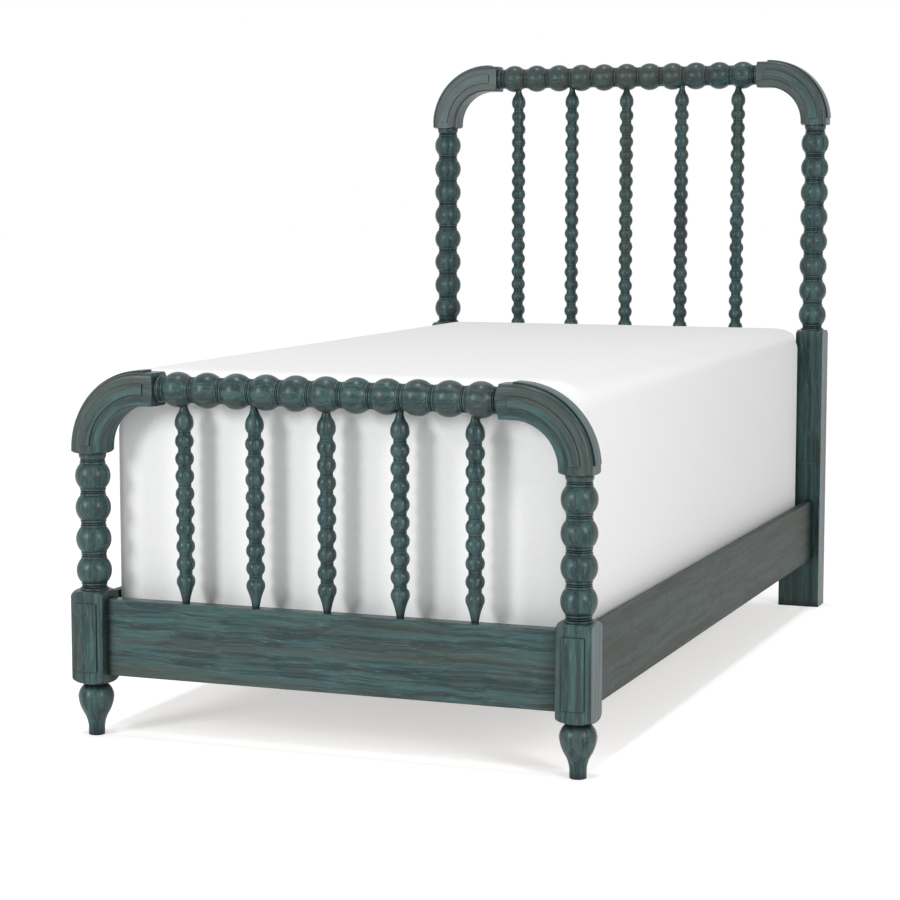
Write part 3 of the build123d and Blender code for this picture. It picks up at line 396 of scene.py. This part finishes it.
class Weave(NodeGroup):
    """Fine plain weave as a height, from two crossed sets of threads."""

    title = "weave"
    ins = (("Threads", Socket.NUMBER, 900.0),)
    outs = (("Height", Socket.NUMBER), ("Slub", Socket.NUMBER))
    slub_noise: NoiseShape = (160.0, 3.0, 0.6)

    def draw(self, tree: ShaderTree, start: bpy.types.Node, end: bpy.types.Node) -> None:
        """Cross sine waves along the three axes, so that each face of a block shows two of them.

        Args:
            tree: The group's tree.
            start: The group's input node.
            end: The group's output node.
        """
        place = tree.add("TexCoord").outputs["Object"]
        scaled = tree.add("VectorMath", operation="SCALE")
        tree.join(place, scaled.inputs[0])
        tree.join(start.outputs["Threads"], scaled.inputs["Scale"])
        parts = tree.add("SeparateXYZ")
        tree.join(scaled.outputs[0], parts.inputs[0])
        waves = [tree.sums("SINE", parts.outputs[i]) for i in range(3)]
        height = tree.sums("ADD", tree.sums("ADD", waves[0], waves[1]), waves[2])
        tree.join(height, end.inputs["Height"])
        tree.join(tree.noise(place, *self.slub_noise), end.inputs["Slub"])


def new_material(title: str) -> tuple[bpy.types.Material, ShaderTree, bpy.types.Node]:
    """A material with a Principled shader joined to its output.

    Args:
        title: The material's name.

    Returns:
        The material, its tree and its Principled node.
    """
    material = bpy.data.materials.new(title)
    material.use_nodes = True
    tree = ShaderTree(material.node_tree)
    material.node_tree.nodes.clear()
    shader = tree.add("BsdfPrincipled")
    out = tree.add("OutputMaterial")
    tree.join(shader.outputs["BSDF"], out.inputs["Surface"])
    return material, tree, shader


def bump(tree: ShaderTree, shader: bpy.types.Node, height: bpy.types.NodeSocket, depth: float,
         strength: float) -> None:
    """Join a height to the shader's normal.

    Args:
        tree: The material's tree.
        shader: The Principled node.
        height: Height from 0 to about 1.
        depth: What a height of 1 stands for, in metres.
        strength: Share of the effect.
    """
    node = tree.add("Bump")
    node.inputs["Strength"].default_value = strength
    node.inputs["Distance"].default_value = depth
    tree.join(height, node.inputs["Height"])
    tree.join(node.outputs["Normal"], shader.inputs["Normal"])


@dataclass(frozen=True)
class GlazedPaint:
    """Blue-green paint under a dark brown glaze that was brushed on along the grain and wiped back.

    Each range is the part of a noise or mask that is stretched from 0 to 1, and each share says how
    far a layer covers what lies below it.
    """

    title: str
    grain: Grain
    bend: Span | None = None
    slate: Colour = (0.015, 0.035, 0.039)
    teal: Colour = (0.042, 0.096, 0.098)
    bright: Colour = (0.125, 0.225, 0.210)
    umber: Colour = (0.062, 0.060, 0.046)
    # Near black laid into hollows by occlusion: painted shade, and in narrow grooves also glazing left
    # by wiping.
    glaze_and_shade: Colour = (0.006, 0.009, 0.009)
    # Lighter colour for outer edges: paint rubbed thin, and a painted highlight where edges catch
    # light.
    worn: Colour = (0.150, 0.205, 0.195)
    broad_range: Span = (0.38, 0.62)
    bright_range: Span = (0.52, 0.74)
    bright_share: float = 0.45
    dark_range: Span = (0.46, 0.26)
    dark_share: float = 0.55
    patch_range: Span = (0.48, 0.66)
    mottle_range: Span = (0.40, 0.66)
    mottle_share: float = 0.6
    umber_share: float = 0.5
    # Wide hollows between beads and in corners get only painted shade; narrow grooves get glazing and
    # painted shade.
    hollow_shade_reach: float = 0.026
    hollow_shade_range: Span = (0.06, 0.48)
    hollow_shade_share: float = 0.80
    groove_reach: float = 0.005
    groove_range: Span = (0.16, 0.55)
    groove_share: float = 0.94
    # Width and share of the lighter edges, which are wear and a painted highlight.
    edge_width: float = 0.0016
    edge_share: float = 0.5
    stretch: float = 0.05
    roughness: float = 0.31
    umber_dulls: float = 0.10
    strokes_dull: float = 0.05
    gloss: float = 0.24
    stroke_depth: float = 0.0004
    stroke_strength: float = 0.35
    fine_height: float = 0.6

    def place(self, tree: ShaderTree) -> bpy.types.NodeSocket:
        """Where the strokes are read: in the piece's own space, or round the elbow's bend.

        Args:
            tree: The material's tree.

        Returns:
            The coordinates.
        """
        if not self.bend:
            return tree.add("TexCoord").outputs["Object"]
        return BentPlace().place(tree, Bend_X=self.bend[0], Bend_Z=self.bend[1]).outputs["Place"]

    def umber_mask(self, tree: ShaderTree, strokes: bpy.types.Node) -> bpy.types.NodeSocket:
        """Where the brown glaze covers the paint, in long patches and small clouds.

        Args:
            tree: The material's tree.
            strokes: The node of the brush strokes.

        Returns:
            The mask, up to the glaze's share.
        """
        patch = tree.ramp(strokes.outputs["Patch"], *self.patch_range)
        mottle = tree.ramp(strokes.outputs["Mottle"], *self.mottle_range)
        clouds = tree.sums("MULTIPLY", mottle, self.mottle_share)
        return tree.sums("MULTIPLY", tree.sums("MAXIMUM", patch, clouds), self.umber_share)

    def glazed(self, tree: ShaderTree, colour: bpy.types.NodeSocket, reach: float, span: Span,
               share: float) -> bpy.types.NodeSocket:
        """Lay a near-black colour in hollows of one width: painted shade, with glazing left in the
        narrow grooves too.

        Args:
            tree: The material's tree.
            colour: The colour so far.
            reach: How far a hollow is looked for, in metres.
            span: Range of the hollow's mask.
            share: How far the painted shade and glazing cover.

        Returns:
            The colour with the painted shade and glazing over it.
        """
        mask = tree.ramp(Hollows().place(tree, Reach=reach).outputs["Mask"], *span)
        return tree.blend(tree.sums("MULTIPLY", mask, share), colour, self.glaze_and_shade)

    def material(self) -> bpy.types.Material:
        """Build the material.

        Returns:
            The painted finish for pieces whose grain runs this way.
        """
        material, tree, shader = new_material(self.title)
        along = tuple(self.stretch if part else 1.0 for part in self.grain.value)
        strokes = BrushStrokes().place(tree, Place=self.place(tree), Along=along)
        broad = tree.ramp(strokes.outputs["Broad"], *self.broad_range)
        colour = tree.blend(broad, self.slate, self.teal)
        fine = tree.ramp(strokes.outputs["Fine"], *self.bright_range)
        colour = tree.blend(tree.sums("MULTIPLY", fine, self.bright_share), colour, self.bright)
        dark_fine = tree.ramp(strokes.outputs["Fine"], *self.dark_range)
        colour = tree.blend(tree.sums("MULTIPLY", dark_fine, self.dark_share), colour, self.slate)
        umber = self.umber_mask(tree, strokes)
        colour = tree.blend(umber, colour, self.umber)
        # Painted shade in wide hollows, then glazing and painted shade in narrow grooves.
        colour = self.glazed(tree, colour, self.hollow_shade_reach, self.hollow_shade_range, self.hollow_shade_share)
        colour = self.glazed(tree, colour, self.groove_reach, self.groove_range, self.groove_share)
        # Lighter outer edges: rubbed paint and a painted highlight.
        edges = WornEdgesAndHighlight().place(tree, Width=self.edge_width).outputs["Mask"]
        colour = tree.blend(tree.sums("MULTIPLY", edges, self.edge_share), colour, self.worn)
        tree.join(colour, shader.inputs["Base Color"])
        dull = tree.sums("MULTIPLY_ADD", umber, self.umber_dulls)
        dull.node.inputs[2].default_value = self.roughness
        rough = tree.sums("ADD", dull, tree.sums("MULTIPLY", fine, self.strokes_dull))
        tree.join(rough, shader.inputs["Roughness"])
        shader.inputs["Specular IOR Level"].default_value = self.gloss
        ridges = tree.sums("MULTIPLY", strokes.outputs["Fine"], self.fine_height)
        height = tree.sums("ADD", ridges, strokes.outputs["Broad"])
        bump(tree, shader, height, self.stroke_depth, self.stroke_strength)
        return material


@dataclass(frozen=True)
class BareWood:
    """Planed softwood with growth lines along its grain."""

    title: str
    grain: Grain
    early: Colour = (0.58, 0.42, 0.25)
    late: Colour = (0.40, 0.25, 0.13)
    ring_range: Span = (0.40, 0.62)
    fibre_range: Span = (0.50, 0.72)
    fibre_share: float = 0.35
    stretch: float = 0.05
    roughness: float = 0.62
    rings_dull: float = 0.1
    fibre_depth: float = 0.0003
    fibre_strength: float = 0.4

    def material(self) -> bpy.types.Material:
        """Build the material.

        Returns:
            The bare wood for pieces whose grain runs this way.
        """
        material, tree, shader = new_material(self.title)
        along = tuple(self.stretch if part else 1.0 for part in self.grain.value)
        place = tree.add("TexCoord").outputs["Object"]
        strokes = BrushStrokes().place(tree, Place=place, Along=along)
        rings = tree.ramp(strokes.outputs["Broad"], *self.ring_range)
        colour = tree.blend(rings, self.early, self.late)
        fibres = tree.ramp(strokes.outputs["Fine"], *self.fibre_range)
        colour = tree.blend(tree.sums("MULTIPLY", fibres, self.fibre_share), colour, self.late)
        tree.join(colour, shader.inputs["Base Color"])
        rough = tree.sums("ADD", tree.sums("MULTIPLY", rings, self.rings_dull), self.roughness)
        tree.join(rough, shader.inputs["Roughness"])
        bump(tree, shader, strokes.outputs["Fine"], self.fibre_depth, self.fibre_strength)
        return material


@dataclass(frozen=True)
class Cloth:
    """Woven cotton, with its weave and slight slubs."""

    title: str
    colour: Colour
    slub: Colour
    threads: float
    depth: float
    slub_range: Span = (0.45, 0.70)
    roughness: float = 0.84
    slubs_dull: float = 0.06
    gloss: float = 0.25
    sheen: float = 0.10
    sheen_roughness: float = 0.5
    weave_strength: float = 0.3

    def material(self) -> bpy.types.Material:
        """Build the material.

        Returns:
            The woven finish.
        """
        material, tree, shader = new_material(self.title)
        weave = Weave().place(tree, Threads=self.threads)
        slub = tree.ramp(weave.outputs["Slub"], *self.slub_range)
        tree.join(tree.blend(slub, self.colour, self.slub), shader.inputs["Base Color"])
        rough = tree.sums("ADD", tree.sums("MULTIPLY", slub, self.slubs_dull), self.roughness)
        tree.join(rough, shader.inputs["Roughness"])
        shader.inputs["Specular IOR Level"].default_value = self.gloss
        shader.inputs["Sheen Weight"].default_value = self.sheen
        shader.inputs["Sheen Roughness"].default_value = self.sheen_roughness
        bump(tree, shader, weave.outputs["Height"], self.depth, self.weave_strength)
        return material


@dataclass(frozen=True)
class PlatedSteel:
    """Zinc-plated steel with faint rolling marks and a mottled passivation."""

    title: str
    bright: Colour = (0.62, 0.62, 0.60)
    dull: Colour = (0.46, 0.46, 0.43)
    rolled: Point = (1.0, 1.0, 0.08)
    mottle_range: Span = (0.40, 0.62)
    roughness: float = 0.30
    mottle_dulls: float = 0.14
    mark_depth: float = 0.0001
    mark_strength: float = 0.4

    def material(self) -> bpy.types.Material:
        """Build the material.

        Returns:
            The plated finish.
        """
        material, tree, shader = new_material(self.title)
        place = tree.add("TexCoord").outputs["Object"]
        marks = BrushStrokes().place(tree, Place=place, Along=self.rolled)
        mottle = tree.ramp(marks.outputs["Mottle"], *self.mottle_range)
        tree.join(tree.blend(mottle, self.bright, self.dull), shader.inputs["Base Color"])
        shader.inputs["Metallic"].default_value = 1.0
        rough = tree.sums("ADD", tree.sums("MULTIPLY", mottle, self.mottle_dulls), self.roughness)
        tree.join(rough, shader.inputs["Roughness"])
        bump(tree, shader, marks.outputs["Fine"], self.mark_depth, self.mark_strength)
        return material


@dataclass(frozen=True)
class MouldedNylon:
    """Black moulded nylon with a fine spark-eroded texture."""

    title: str
    colour: Colour = (0.022, 0.022, 0.023)
    scuffed: Colour = (0.07, 0.07, 0.068)
    speck_noise: NoiseShape = (1800.0, 3.0, 0.7)
    scuff_noise: NoiseShape = (70.0, 4.0, 0.6)
    scuff_range: Span = (0.52, 0.74)
    scuff_share: float = 0.3
    roughness: float = 0.48
    scuffs_dull: float = 0.15
    speck_depth: float = 0.00015
    speck_strength: float = 0.5

    def material(self) -> bpy.types.Material:
        """Build the material.

        Returns:
            The moulded finish.
        """
        material, tree, shader = new_material(self.title)
        place = tree.add("TexCoord").outputs["Object"]
        speck = tree.noise(place, *self.speck_noise)
        scuff = tree.ramp(tree.noise(place, *self.scuff_noise), *self.scuff_range)
        worn = tree.sums("MULTIPLY", scuff, self.scuff_share)
        tree.join(tree.blend(worn, self.colour, self.scuffed), shader.inputs["Base Color"])
        rough = tree.sums("ADD", tree.sums("MULTIPLY", scuff, self.scuffs_dull), self.roughness)
        tree.join(rough, shader.inputs["Roughness"])
        bump(tree, shader, speck, self.speck_depth, self.speck_strength)
        return material


class Finishes:
    """The bed's finishes, each built when it is first asked for."""

    def __init__(self) -> None:
        """Name every finish by its use."""
        self.recipes = {
            "paint across": GlazedPaint("glazed paint across the bed", Grain.ACROSS_BED),
            "shade-darkened paint along": GlazedPaint(
                "glazed shade-darkened paint along the bed", Grain.ALONG_BED,
                # These colours are darker and greener than the other pieces' as painted shade on the
                # side boards; the larger umber share is more brown glazing.
                slate=(0.012, 0.021, 0.018),
                teal=(0.030, 0.051, 0.043),
                bright=(0.062, 0.096, 0.083),
                umber=(0.040, 0.040, 0.030),
                umber_share=0.6,
                roughness=0.42,
                gloss=0.12,
            ),
            "paint upright": GlazedPaint("glazed paint upright", Grain.UPRIGHT, umber_share=0.42),
            "paint foot bend": GlazedPaint(
                "glazed paint round the foot elbows", Grain.ACROSS_BED, (ELBOW_BEND_X, FOOT_BEND_Z)),
            "paint head bend": GlazedPaint(
                "glazed paint round the head elbows", Grain.ACROSS_BED, (ELBOW_BEND_X, HEAD_BEND_Z)),
            "wood across": BareWood("bare wood across the bed", Grain.ACROSS_BED),
            "wood along": BareWood("bare wood along the bed", Grain.ALONG_BED),
            "wood upright": BareWood("bare wood upright", Grain.UPRIGHT),
            "cover": Cloth(
                "white cover cloth",
                colour=(0.87, 0.87, 0.87),
                slub=(0.85, 0.85, 0.85),
                threads=2400.0,
                depth=0.00005,
            ),
            "ticking": Cloth(
                "off-white ticking",
                colour=(0.74, 0.72, 0.67),
                slub=(0.68, 0.66, 0.60),
                threads=1500.0,
                depth=0.0002,
            ),
            "steel": PlatedSteel("zinc plated steel"),
            "nylon": MouldedNylon("black nylon"),
        }
        self.made: dict[str, bpy.types.Material] = {}

    def get(self, use: str) -> bpy.types.Material:
        """The material for a use.

        Args:
            use: One of the names above.

        Returns:
            The Blender material, the same one at each call.
        """
        if use not in self.made:
            self.made[use] = self.recipes[use].material()
        return self.made[use]


def dress_node(name: str, material: bpy.types.Material) -> None:
    """Give a CAD node its finish.

    Args:
        name: The node.
        material: What it is made of.
    """
    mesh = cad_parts[name].data
    mesh.materials.clear()
    mesh.materials.append(material)


def nodes_named(*starts: str) -> list[str]:
    """The CAD nodes whose names start with any of these words, in order.

    Args:
        starts: The beginnings of the names.

    Returns:
        The names.
    """
    return sorted(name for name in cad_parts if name.startswith(starts))


@dataclass
class EndFrame:
    """Foot or head end: posts, elbows, top rail, lower rail and spindles.

    Its field names the end as the nodes' names do.
    """

    end: str

    def dress(self, finishes: Finishes) -> None:
        """Give each painted piece the glaze that was brushed along its grain.

        Args:
            finishes: The bed's finishes.
        """
        uprights = ("post", "leg", "spindle", "block_panel")
        upright = nodes_named(*(f"{self.end}_{kind}" for kind in uprights))
        across = nodes_named(f"{self.end}_top_rail", f"{self.end}_lower_rail")
        bent = nodes_named(f"{self.end}_elbow")
        for name in upright:
            dress_node(name, finishes.get("paint upright"))
        for name in across:
            dress_node(name, finishes.get("paint across"))
        for name in bent:
            dress_node(name, finishes.get(f"paint {self.end} bend"))
        LOG.info("%s end: %d pieces", self.end, len(upright + across + bent))


@dataclass
class SideRails:
    """The two side boards with their cleats and hook plates."""

    def dress(self, finishes: Finishes) -> None:
        """Paint the boards; leave the cleats bare and the plates plated.

        Args:
            finishes: The bed's finishes.
        """
        # The boards take the paint whose darker colours are painted shade.
        for name in nodes_named("side_rail"):
            dress_node(name, finishes.get("shade-darkened paint along"))
        for name in nodes_named("side_cleat"):
            dress_node(name, finishes.get("wood along"))
        for name in nodes_named("rail_hook_plates", "post_slot_plates", "plate_screws", "cleat_screws"):
            dress_node(name, finishes.get("steel"))
        LOG.info("side rails, cleats and plates")


@dataclass
class SlatDeck:
    """Slats, their legs and the screw glides below."""

    def dress(self, finishes: Finishes) -> None:
        """Leave the wood bare, the screws plated and the pads black.

        Args:
            finishes: The bed's finishes.
        """
        for name in nodes_named("slat_"):
            use = "wood upright" if name.startswith("slat_leg") else "wood across"
            dress_node(name, finishes.get("steel" if name == "slat_screws" else use))
        dress_node("frame_dowels", finishes.get("wood upright"))
        for name in nodes_named("glide_stem", "glide_inserts"):
            dress_node(name, finishes.get("steel"))
        for name in nodes_named("glide_pad"):
            dress_node(name, finishes.get("nylon"))
        LOG.info("slats, slat legs and glides")


@dataclass
class SoftBlock:
    """A soft upholstered block: a box whose corners and edges are rounded, with a slight crown.

    The top edges can be rounder at the foot end than at the head end.
    """

    title: str
    low: Point
    high: Point
    corner: float
    foot_edge: float
    head_edge: float
    crown: float
    step: float
    open_below: bool = False
    low_corner: float = 0.024
    edge_steps: int = 9
    blend_start: float = 2.2
    blend_length: float = 1.2

    def cuts(self, axis: int, rounding: float) -> list[float]:
        """Places of the grid lines along one axis, closer together where the edge is rounded.

        Args:
            axis: 0, 1 or 2.
            rounding: Width of the rounded part at each end.

        Returns:
            The places in rising order.
        """
        low, high = self.low[axis], self.high[axis]
        turn = math.radians(90) / self.edge_steps
        ease = [rounding * (1 - math.cos(turn * i)) for i in range(self.edge_steps)]
        middle = max(2, round((high - low - 2 * rounding) / self.step))
        inner = [low + rounding + (high - low - 2 * rounding) * i / middle for i in range(middle + 1)]
        return [low + e for e in ease] + inner + [high - e for e in reversed(ease)]

    def rounded(self, point: Vector) -> Vector:
        """Move a point of the plain box's surface onto the rounded block.

        Args:
            point: A point on the box.

        Returns:
            The point on the soft block.
        """
        share = (point.y - self.low[1]) / (self.high[1] - self.low[1])
        edge = self.foot_edge + (self.head_edge - self.foot_edge) * share
        above_start = point.z - (self.high[2] - self.blend_start * edge)
        near_top = min(max(above_start / (self.blend_length * edge), 0.0), 1.0)
        eased = near_top * near_top * (3 - 2 * near_top)
        plan = self.low_corner + (self.corner - self.low_corner) * eased
        radii = (plan, plan, edge)
        inner = Vector()
        off = Vector()
        for i in range(3):
            bottom = self.low[i] + radii[i] if i < 2 or not self.open_below else self.low[i]
            inner[i] = min(max(point[i], bottom), self.high[i] - radii[i])
            off[i] = (point[i] - inner[i]) / radii[i]
        if off.length < 1e-9:
            return point.copy()
        off.normalize()
        moved = Vector(inner[i] + off[i] * radii[i] for i in range(3))
        across = (moved.x - (self.low[0] + self.high[0]) / 2) / ((self.high[0] - self.low[0]) / 2)
        along = (moved.y - (self.low[1] + self.high[1]) / 2) / ((self.high[1] - self.low[1]) / 2)
        height = (moved.z - self.low[2]) / (self.high[2] - self.low[2])
        moved.z -= self.crown * height**4 * (1 - (1 - across**2) * (1 - along**4))
        return moved

    def build(self) -> bpy.types.Object:
        """Make the block's mesh.

        Returns:
            The object, linked to the scene.
        """
        top_edge = max(self.foot_edge, self.head_edge)
        grids = [self.cuts(0, self.corner), self.cuts(1, self.corner), self.cuts(2, top_edge)]
        mesh_maker = bmesh.new()
        seen: dict[tuple[int, int, int], bmesh.types.BMVert] = {}

        def vertex(key: tuple[int, int, int]) -> bmesh.types.BMVert:
            """The vertex at a grid place, made at the first call.

            Args:
                key: Numbers of the grid lines along the three axes.

            Returns:
                The vertex.
            """
            if key not in seen:
                on_box = Vector(grids[i][key[i]] for i in range(3))
                seen[key] = mesh_maker.verts.new(self.rounded(on_box))
            return seen[key]

        for axis in range(3):
            first, second = [a for a in range(3) if a != axis]
            for side in (0, len(grids[axis]) - 1):
                if self.open_below and axis == 2 and side == 0:
                    continue
                for i in range(len(grids[first]) - 1):
                    for j in range(len(grids[second]) - 1):
                        ring = []
                        for di, dj in ((0, 0), (1, 0), (1, 1), (0, 1)):
                            key = [0, 0, 0]
                            key[axis] = side
                            key[first] = i + di
                            key[second] = j + dj
                            ring.append(vertex(tuple(key)))
                        mesh_maker.faces.new(ring)
        bmesh.ops.recalc_face_normals(mesh_maker, faces=mesh_maker.faces[:])
        for face in mesh_maker.faces:
            face.smooth = True
        mesh = bpy.data.meshes.new(self.title)
        mesh_maker.to_mesh(mesh)
        mesh_maker.free()
        piece = bpy.data.objects.new(self.title, mesh)
        bpy.context.scene.collection.objects.link(piece)
        return piece


@dataclass
class MattressSet:
    """Box spring, mattress and the white cover that is drawn over both, with sizes in metres."""

    corner: float = 0.060
    foot_edge: float = 0.052
    head_edge: float = 0.024
    crown: float = 0.002
    cloth: float = 0.0012
    gap: float = 0.0006
    step: float = 0.035
    mattress_ease: float = 0.004
    mattress_fill: float = 0.9
    box_spring_edge: float = 0.012
    box_spring_fill: float = 1.0

    def cover(self, finishes: Finishes) -> None:
        """Make the cover as one sheet that is open below.

        Args:
            finishes: The bed's finishes.
        """
        low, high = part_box("bedding_cover")
        block = SoftBlock("cover", tuple(low), tuple(high), self.corner, self.foot_edge, self.head_edge,
                          self.crown, self.step, open_below=True)
        piece = block.build()
        wall = piece.modifiers.new("cloth", "SOLIDIFY")
        wall.thickness = self.cloth
        wall.offset = -1.0
        piece.data.materials.append(finishes.get("cover"))
        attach(piece, "bedding")
        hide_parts("bedding_cover")

    def pad(self, title: str, node: str, edge: float, crown: float,
            finishes: Finishes) -> None:
        """Make a padded block in the place of a CAD node.

        Args:
            title: The piece's name.
            node: The CAD node it stands for.
            edge: Rounding of its top and bottom edges.
            crown: How far its top rises in the middle.
            finishes: The bed's finishes.
        """
        low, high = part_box(node)
        shrink = Vector((self.gap, self.gap, 0))
        block = SoftBlock(title, tuple(low + shrink), tuple(high - shrink), self.corner - self.cloth,
                          edge, edge, crown, self.step)
        piece = block.build()
        piece.data.materials.append(finishes.get("ticking"))
        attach(piece, "bedding")
        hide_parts(node)
        LOG.info("%s", title)

    def build(self, finishes: Finishes) -> None:
        """Make the three pieces.

        Args:
            finishes: The bed's finishes.
        """
        mattress_edge = self.foot_edge + self.mattress_ease
        self.pad("mattress_pad", "mattress", mattress_edge, self.crown, finishes)
        self.pad("box_spring_pad", "box_spring", self.box_spring_edge, 0.0, finishes)
        self.cover(finishes)


@dataclass
class Studio:
    """Camera, lamps, floor and background."""

    lens: float = 94.826
    sensor: float = 36.0
    sight: float = 200.0
    camera_place: Point = (1.8258, -5.1280, 1.0954)
    camera_tilt: float = 83.69
    camera_turn: float = 20.821
    floor_half: float = 40.0
    floor_albedo: float = 0.8
    floor_glow: float = 0.47
    world_light: float = 0.36
    sun_light: float = 1.02
    sun_width: float = 9.0
    sun_height: float = 4.0
    aim: Point = (0.0, 0.0, 0.6)
    left_place: Point = (-2.6, -5.4, 2.2)
    left_size: Span = (1.3, 2.0)
    left_watts: float = 157.0
    right_place: Point = (4.4, -3.4, 2.4)
    right_size: Span = (1.0, 2.0)
    right_watts: float = 129.0

    def camera(self) -> None:
        """Put the camera where the photograph was taken."""
        data = bpy.data.cameras.new("camera")
        data.lens = self.lens
        data.sensor_width = self.sensor
        data.clip_end = self.sight
        camera = bpy.data.objects.new("camera", data)
        camera.location = self.camera_place
        tilt = math.radians(self.camera_tilt)
        camera.rotation_euler = Euler((tilt, 0.0, math.radians(self.camera_turn)))
        bpy.context.scene.collection.objects.link(camera)
        bpy.context.scene.camera = camera

    def lamp(self, title: str, place: Point, size: Span, power: float) -> None:
        """Add a soft rectangular lamp that shines at the bed's middle.

        Args:
            title: The lamp's name.
            place: Where it stands.
            size: Its width and height.
            power: Its power in watts.
        """
        data = bpy.data.lights.new(title, "AREA")
        data.shape = "RECTANGLE"
        data.size, data.size_y = size
        data.energy = power
        lamp = bpy.data.objects.new(title, data)
        lamp.location = place
        towards = Vector(self.aim) - Vector(place)
        lamp.rotation_euler = towards.to_track_quat("-Z", "Y").to_euler()
        bpy.context.scene.collection.objects.link(lamp)

    def lamps(self) -> None:
        """Two tall windows of light in front, and a distant soft lamp straight overhead."""
        self.lamp("left window", self.left_place, self.left_size, self.left_watts)
        self.lamp("right window", self.right_place, self.right_size, self.right_watts)
        data = bpy.data.lights.new("overhead", "SUN")
        data.energy = self.sun_light
        data.angle = math.radians(self.sun_width)
        overhead = bpy.data.objects.new("overhead", data)
        overhead.location = (0.0, 0.0, self.sun_height)
        bpy.context.scene.collection.objects.link(overhead)

    def floor(self) -> None:
        """Lay a white floor that keeps the bed's shadow and is white to the camera elsewhere."""
        half = self.floor_half
        mesh = bpy.data.meshes.new("floor")
        corners = [(-half, -half, 0), (half, -half, 0), (half, half, 0), (-half, half, 0)]
        mesh.from_pydata(corners, [], [(0, 1, 2, 3)])
        floor = bpy.data.objects.new("floor", mesh)
        bpy.context.scene.collection.objects.link(floor)
        material = bpy.data.materials.new("white floor")
        material.use_nodes = True
        tree = ShaderTree(material.node_tree)
        material.node_tree.nodes.clear()
        matt = tree.add("BsdfDiffuse")
        matt.inputs["Color"].default_value = (self.floor_albedo,) * 3 + (1.0,)
        glow = tree.add("Emission")
        strength = tree.sums("MULTIPLY", seen_ray(tree), self.floor_glow)
        tree.join(strength, glow.inputs["Strength"])
        both = tree.add("AddShader")
        tree.join(matt.outputs[0], both.inputs[0])
        tree.join(glow.outputs[0], both.inputs[1])
        tree.join(both.outputs[0], tree.add("OutputMaterial").inputs["Surface"])
        mesh.materials.append(material)

    def world(self) -> None:
        """White background, with a dimmer, even light on the bed."""
        world = bpy.data.worlds.new("world")
        bpy.context.scene.world = world
        world.use_nodes = True
        tree = ShaderTree(world.node_tree)
        world.node_tree.nodes.clear()
        sky = tree.add("Background")
        sky.inputs["Color"].default_value = (1.0, 1.0, 1.0, 1.0)
        lift = tree.sums("MULTIPLY", seen_ray(tree), 1.0 - self.world_light)
        tree.join(tree.sums("ADD", lift, self.world_light), sky.inputs["Strength"])
        tree.join(sky.outputs[0], tree.add("OutputWorld").inputs["Surface"])

    def build(self) -> None:
        """Set up the whole studio."""
        bpy.context.scene.view_settings.view_transform = "Standard"
        self.camera()
        self.lamps()
        self.floor()
        self.world()
        LOG.info("studio")


def seen_ray(tree: ShaderTree) -> bpy.types.NodeSocket:
    """1 for rays that show the background: from the camera, in a reflection or through glass.

    Args:
        tree: The material's or world's tree.

    Returns:
        The output socket.
    """
    path = tree.add("LightPath")
    seen = tree.sums("MAXIMUM", path.outputs["Is Camera Ray"], path.outputs["Is Glossy Ray"])
    return tree.sums("MAXIMUM", seen, path.outputs["Is Transmission Ray"])


def main() -> None:
    """Build the bed's looks in order."""
    logging.basicConfig(level=logging.INFO, format="%(name)s: %(message)s")
    Studio().build()
    finishes = Finishes()
    EndFrame("foot").dress(finishes)
    EndFrame("head").dress(finishes)
    SideRails().dress(finishes)
    SlatDeck().dress(finishes)
    MattressSet().build(finishes)


if __name__ == "__main__":
    main()
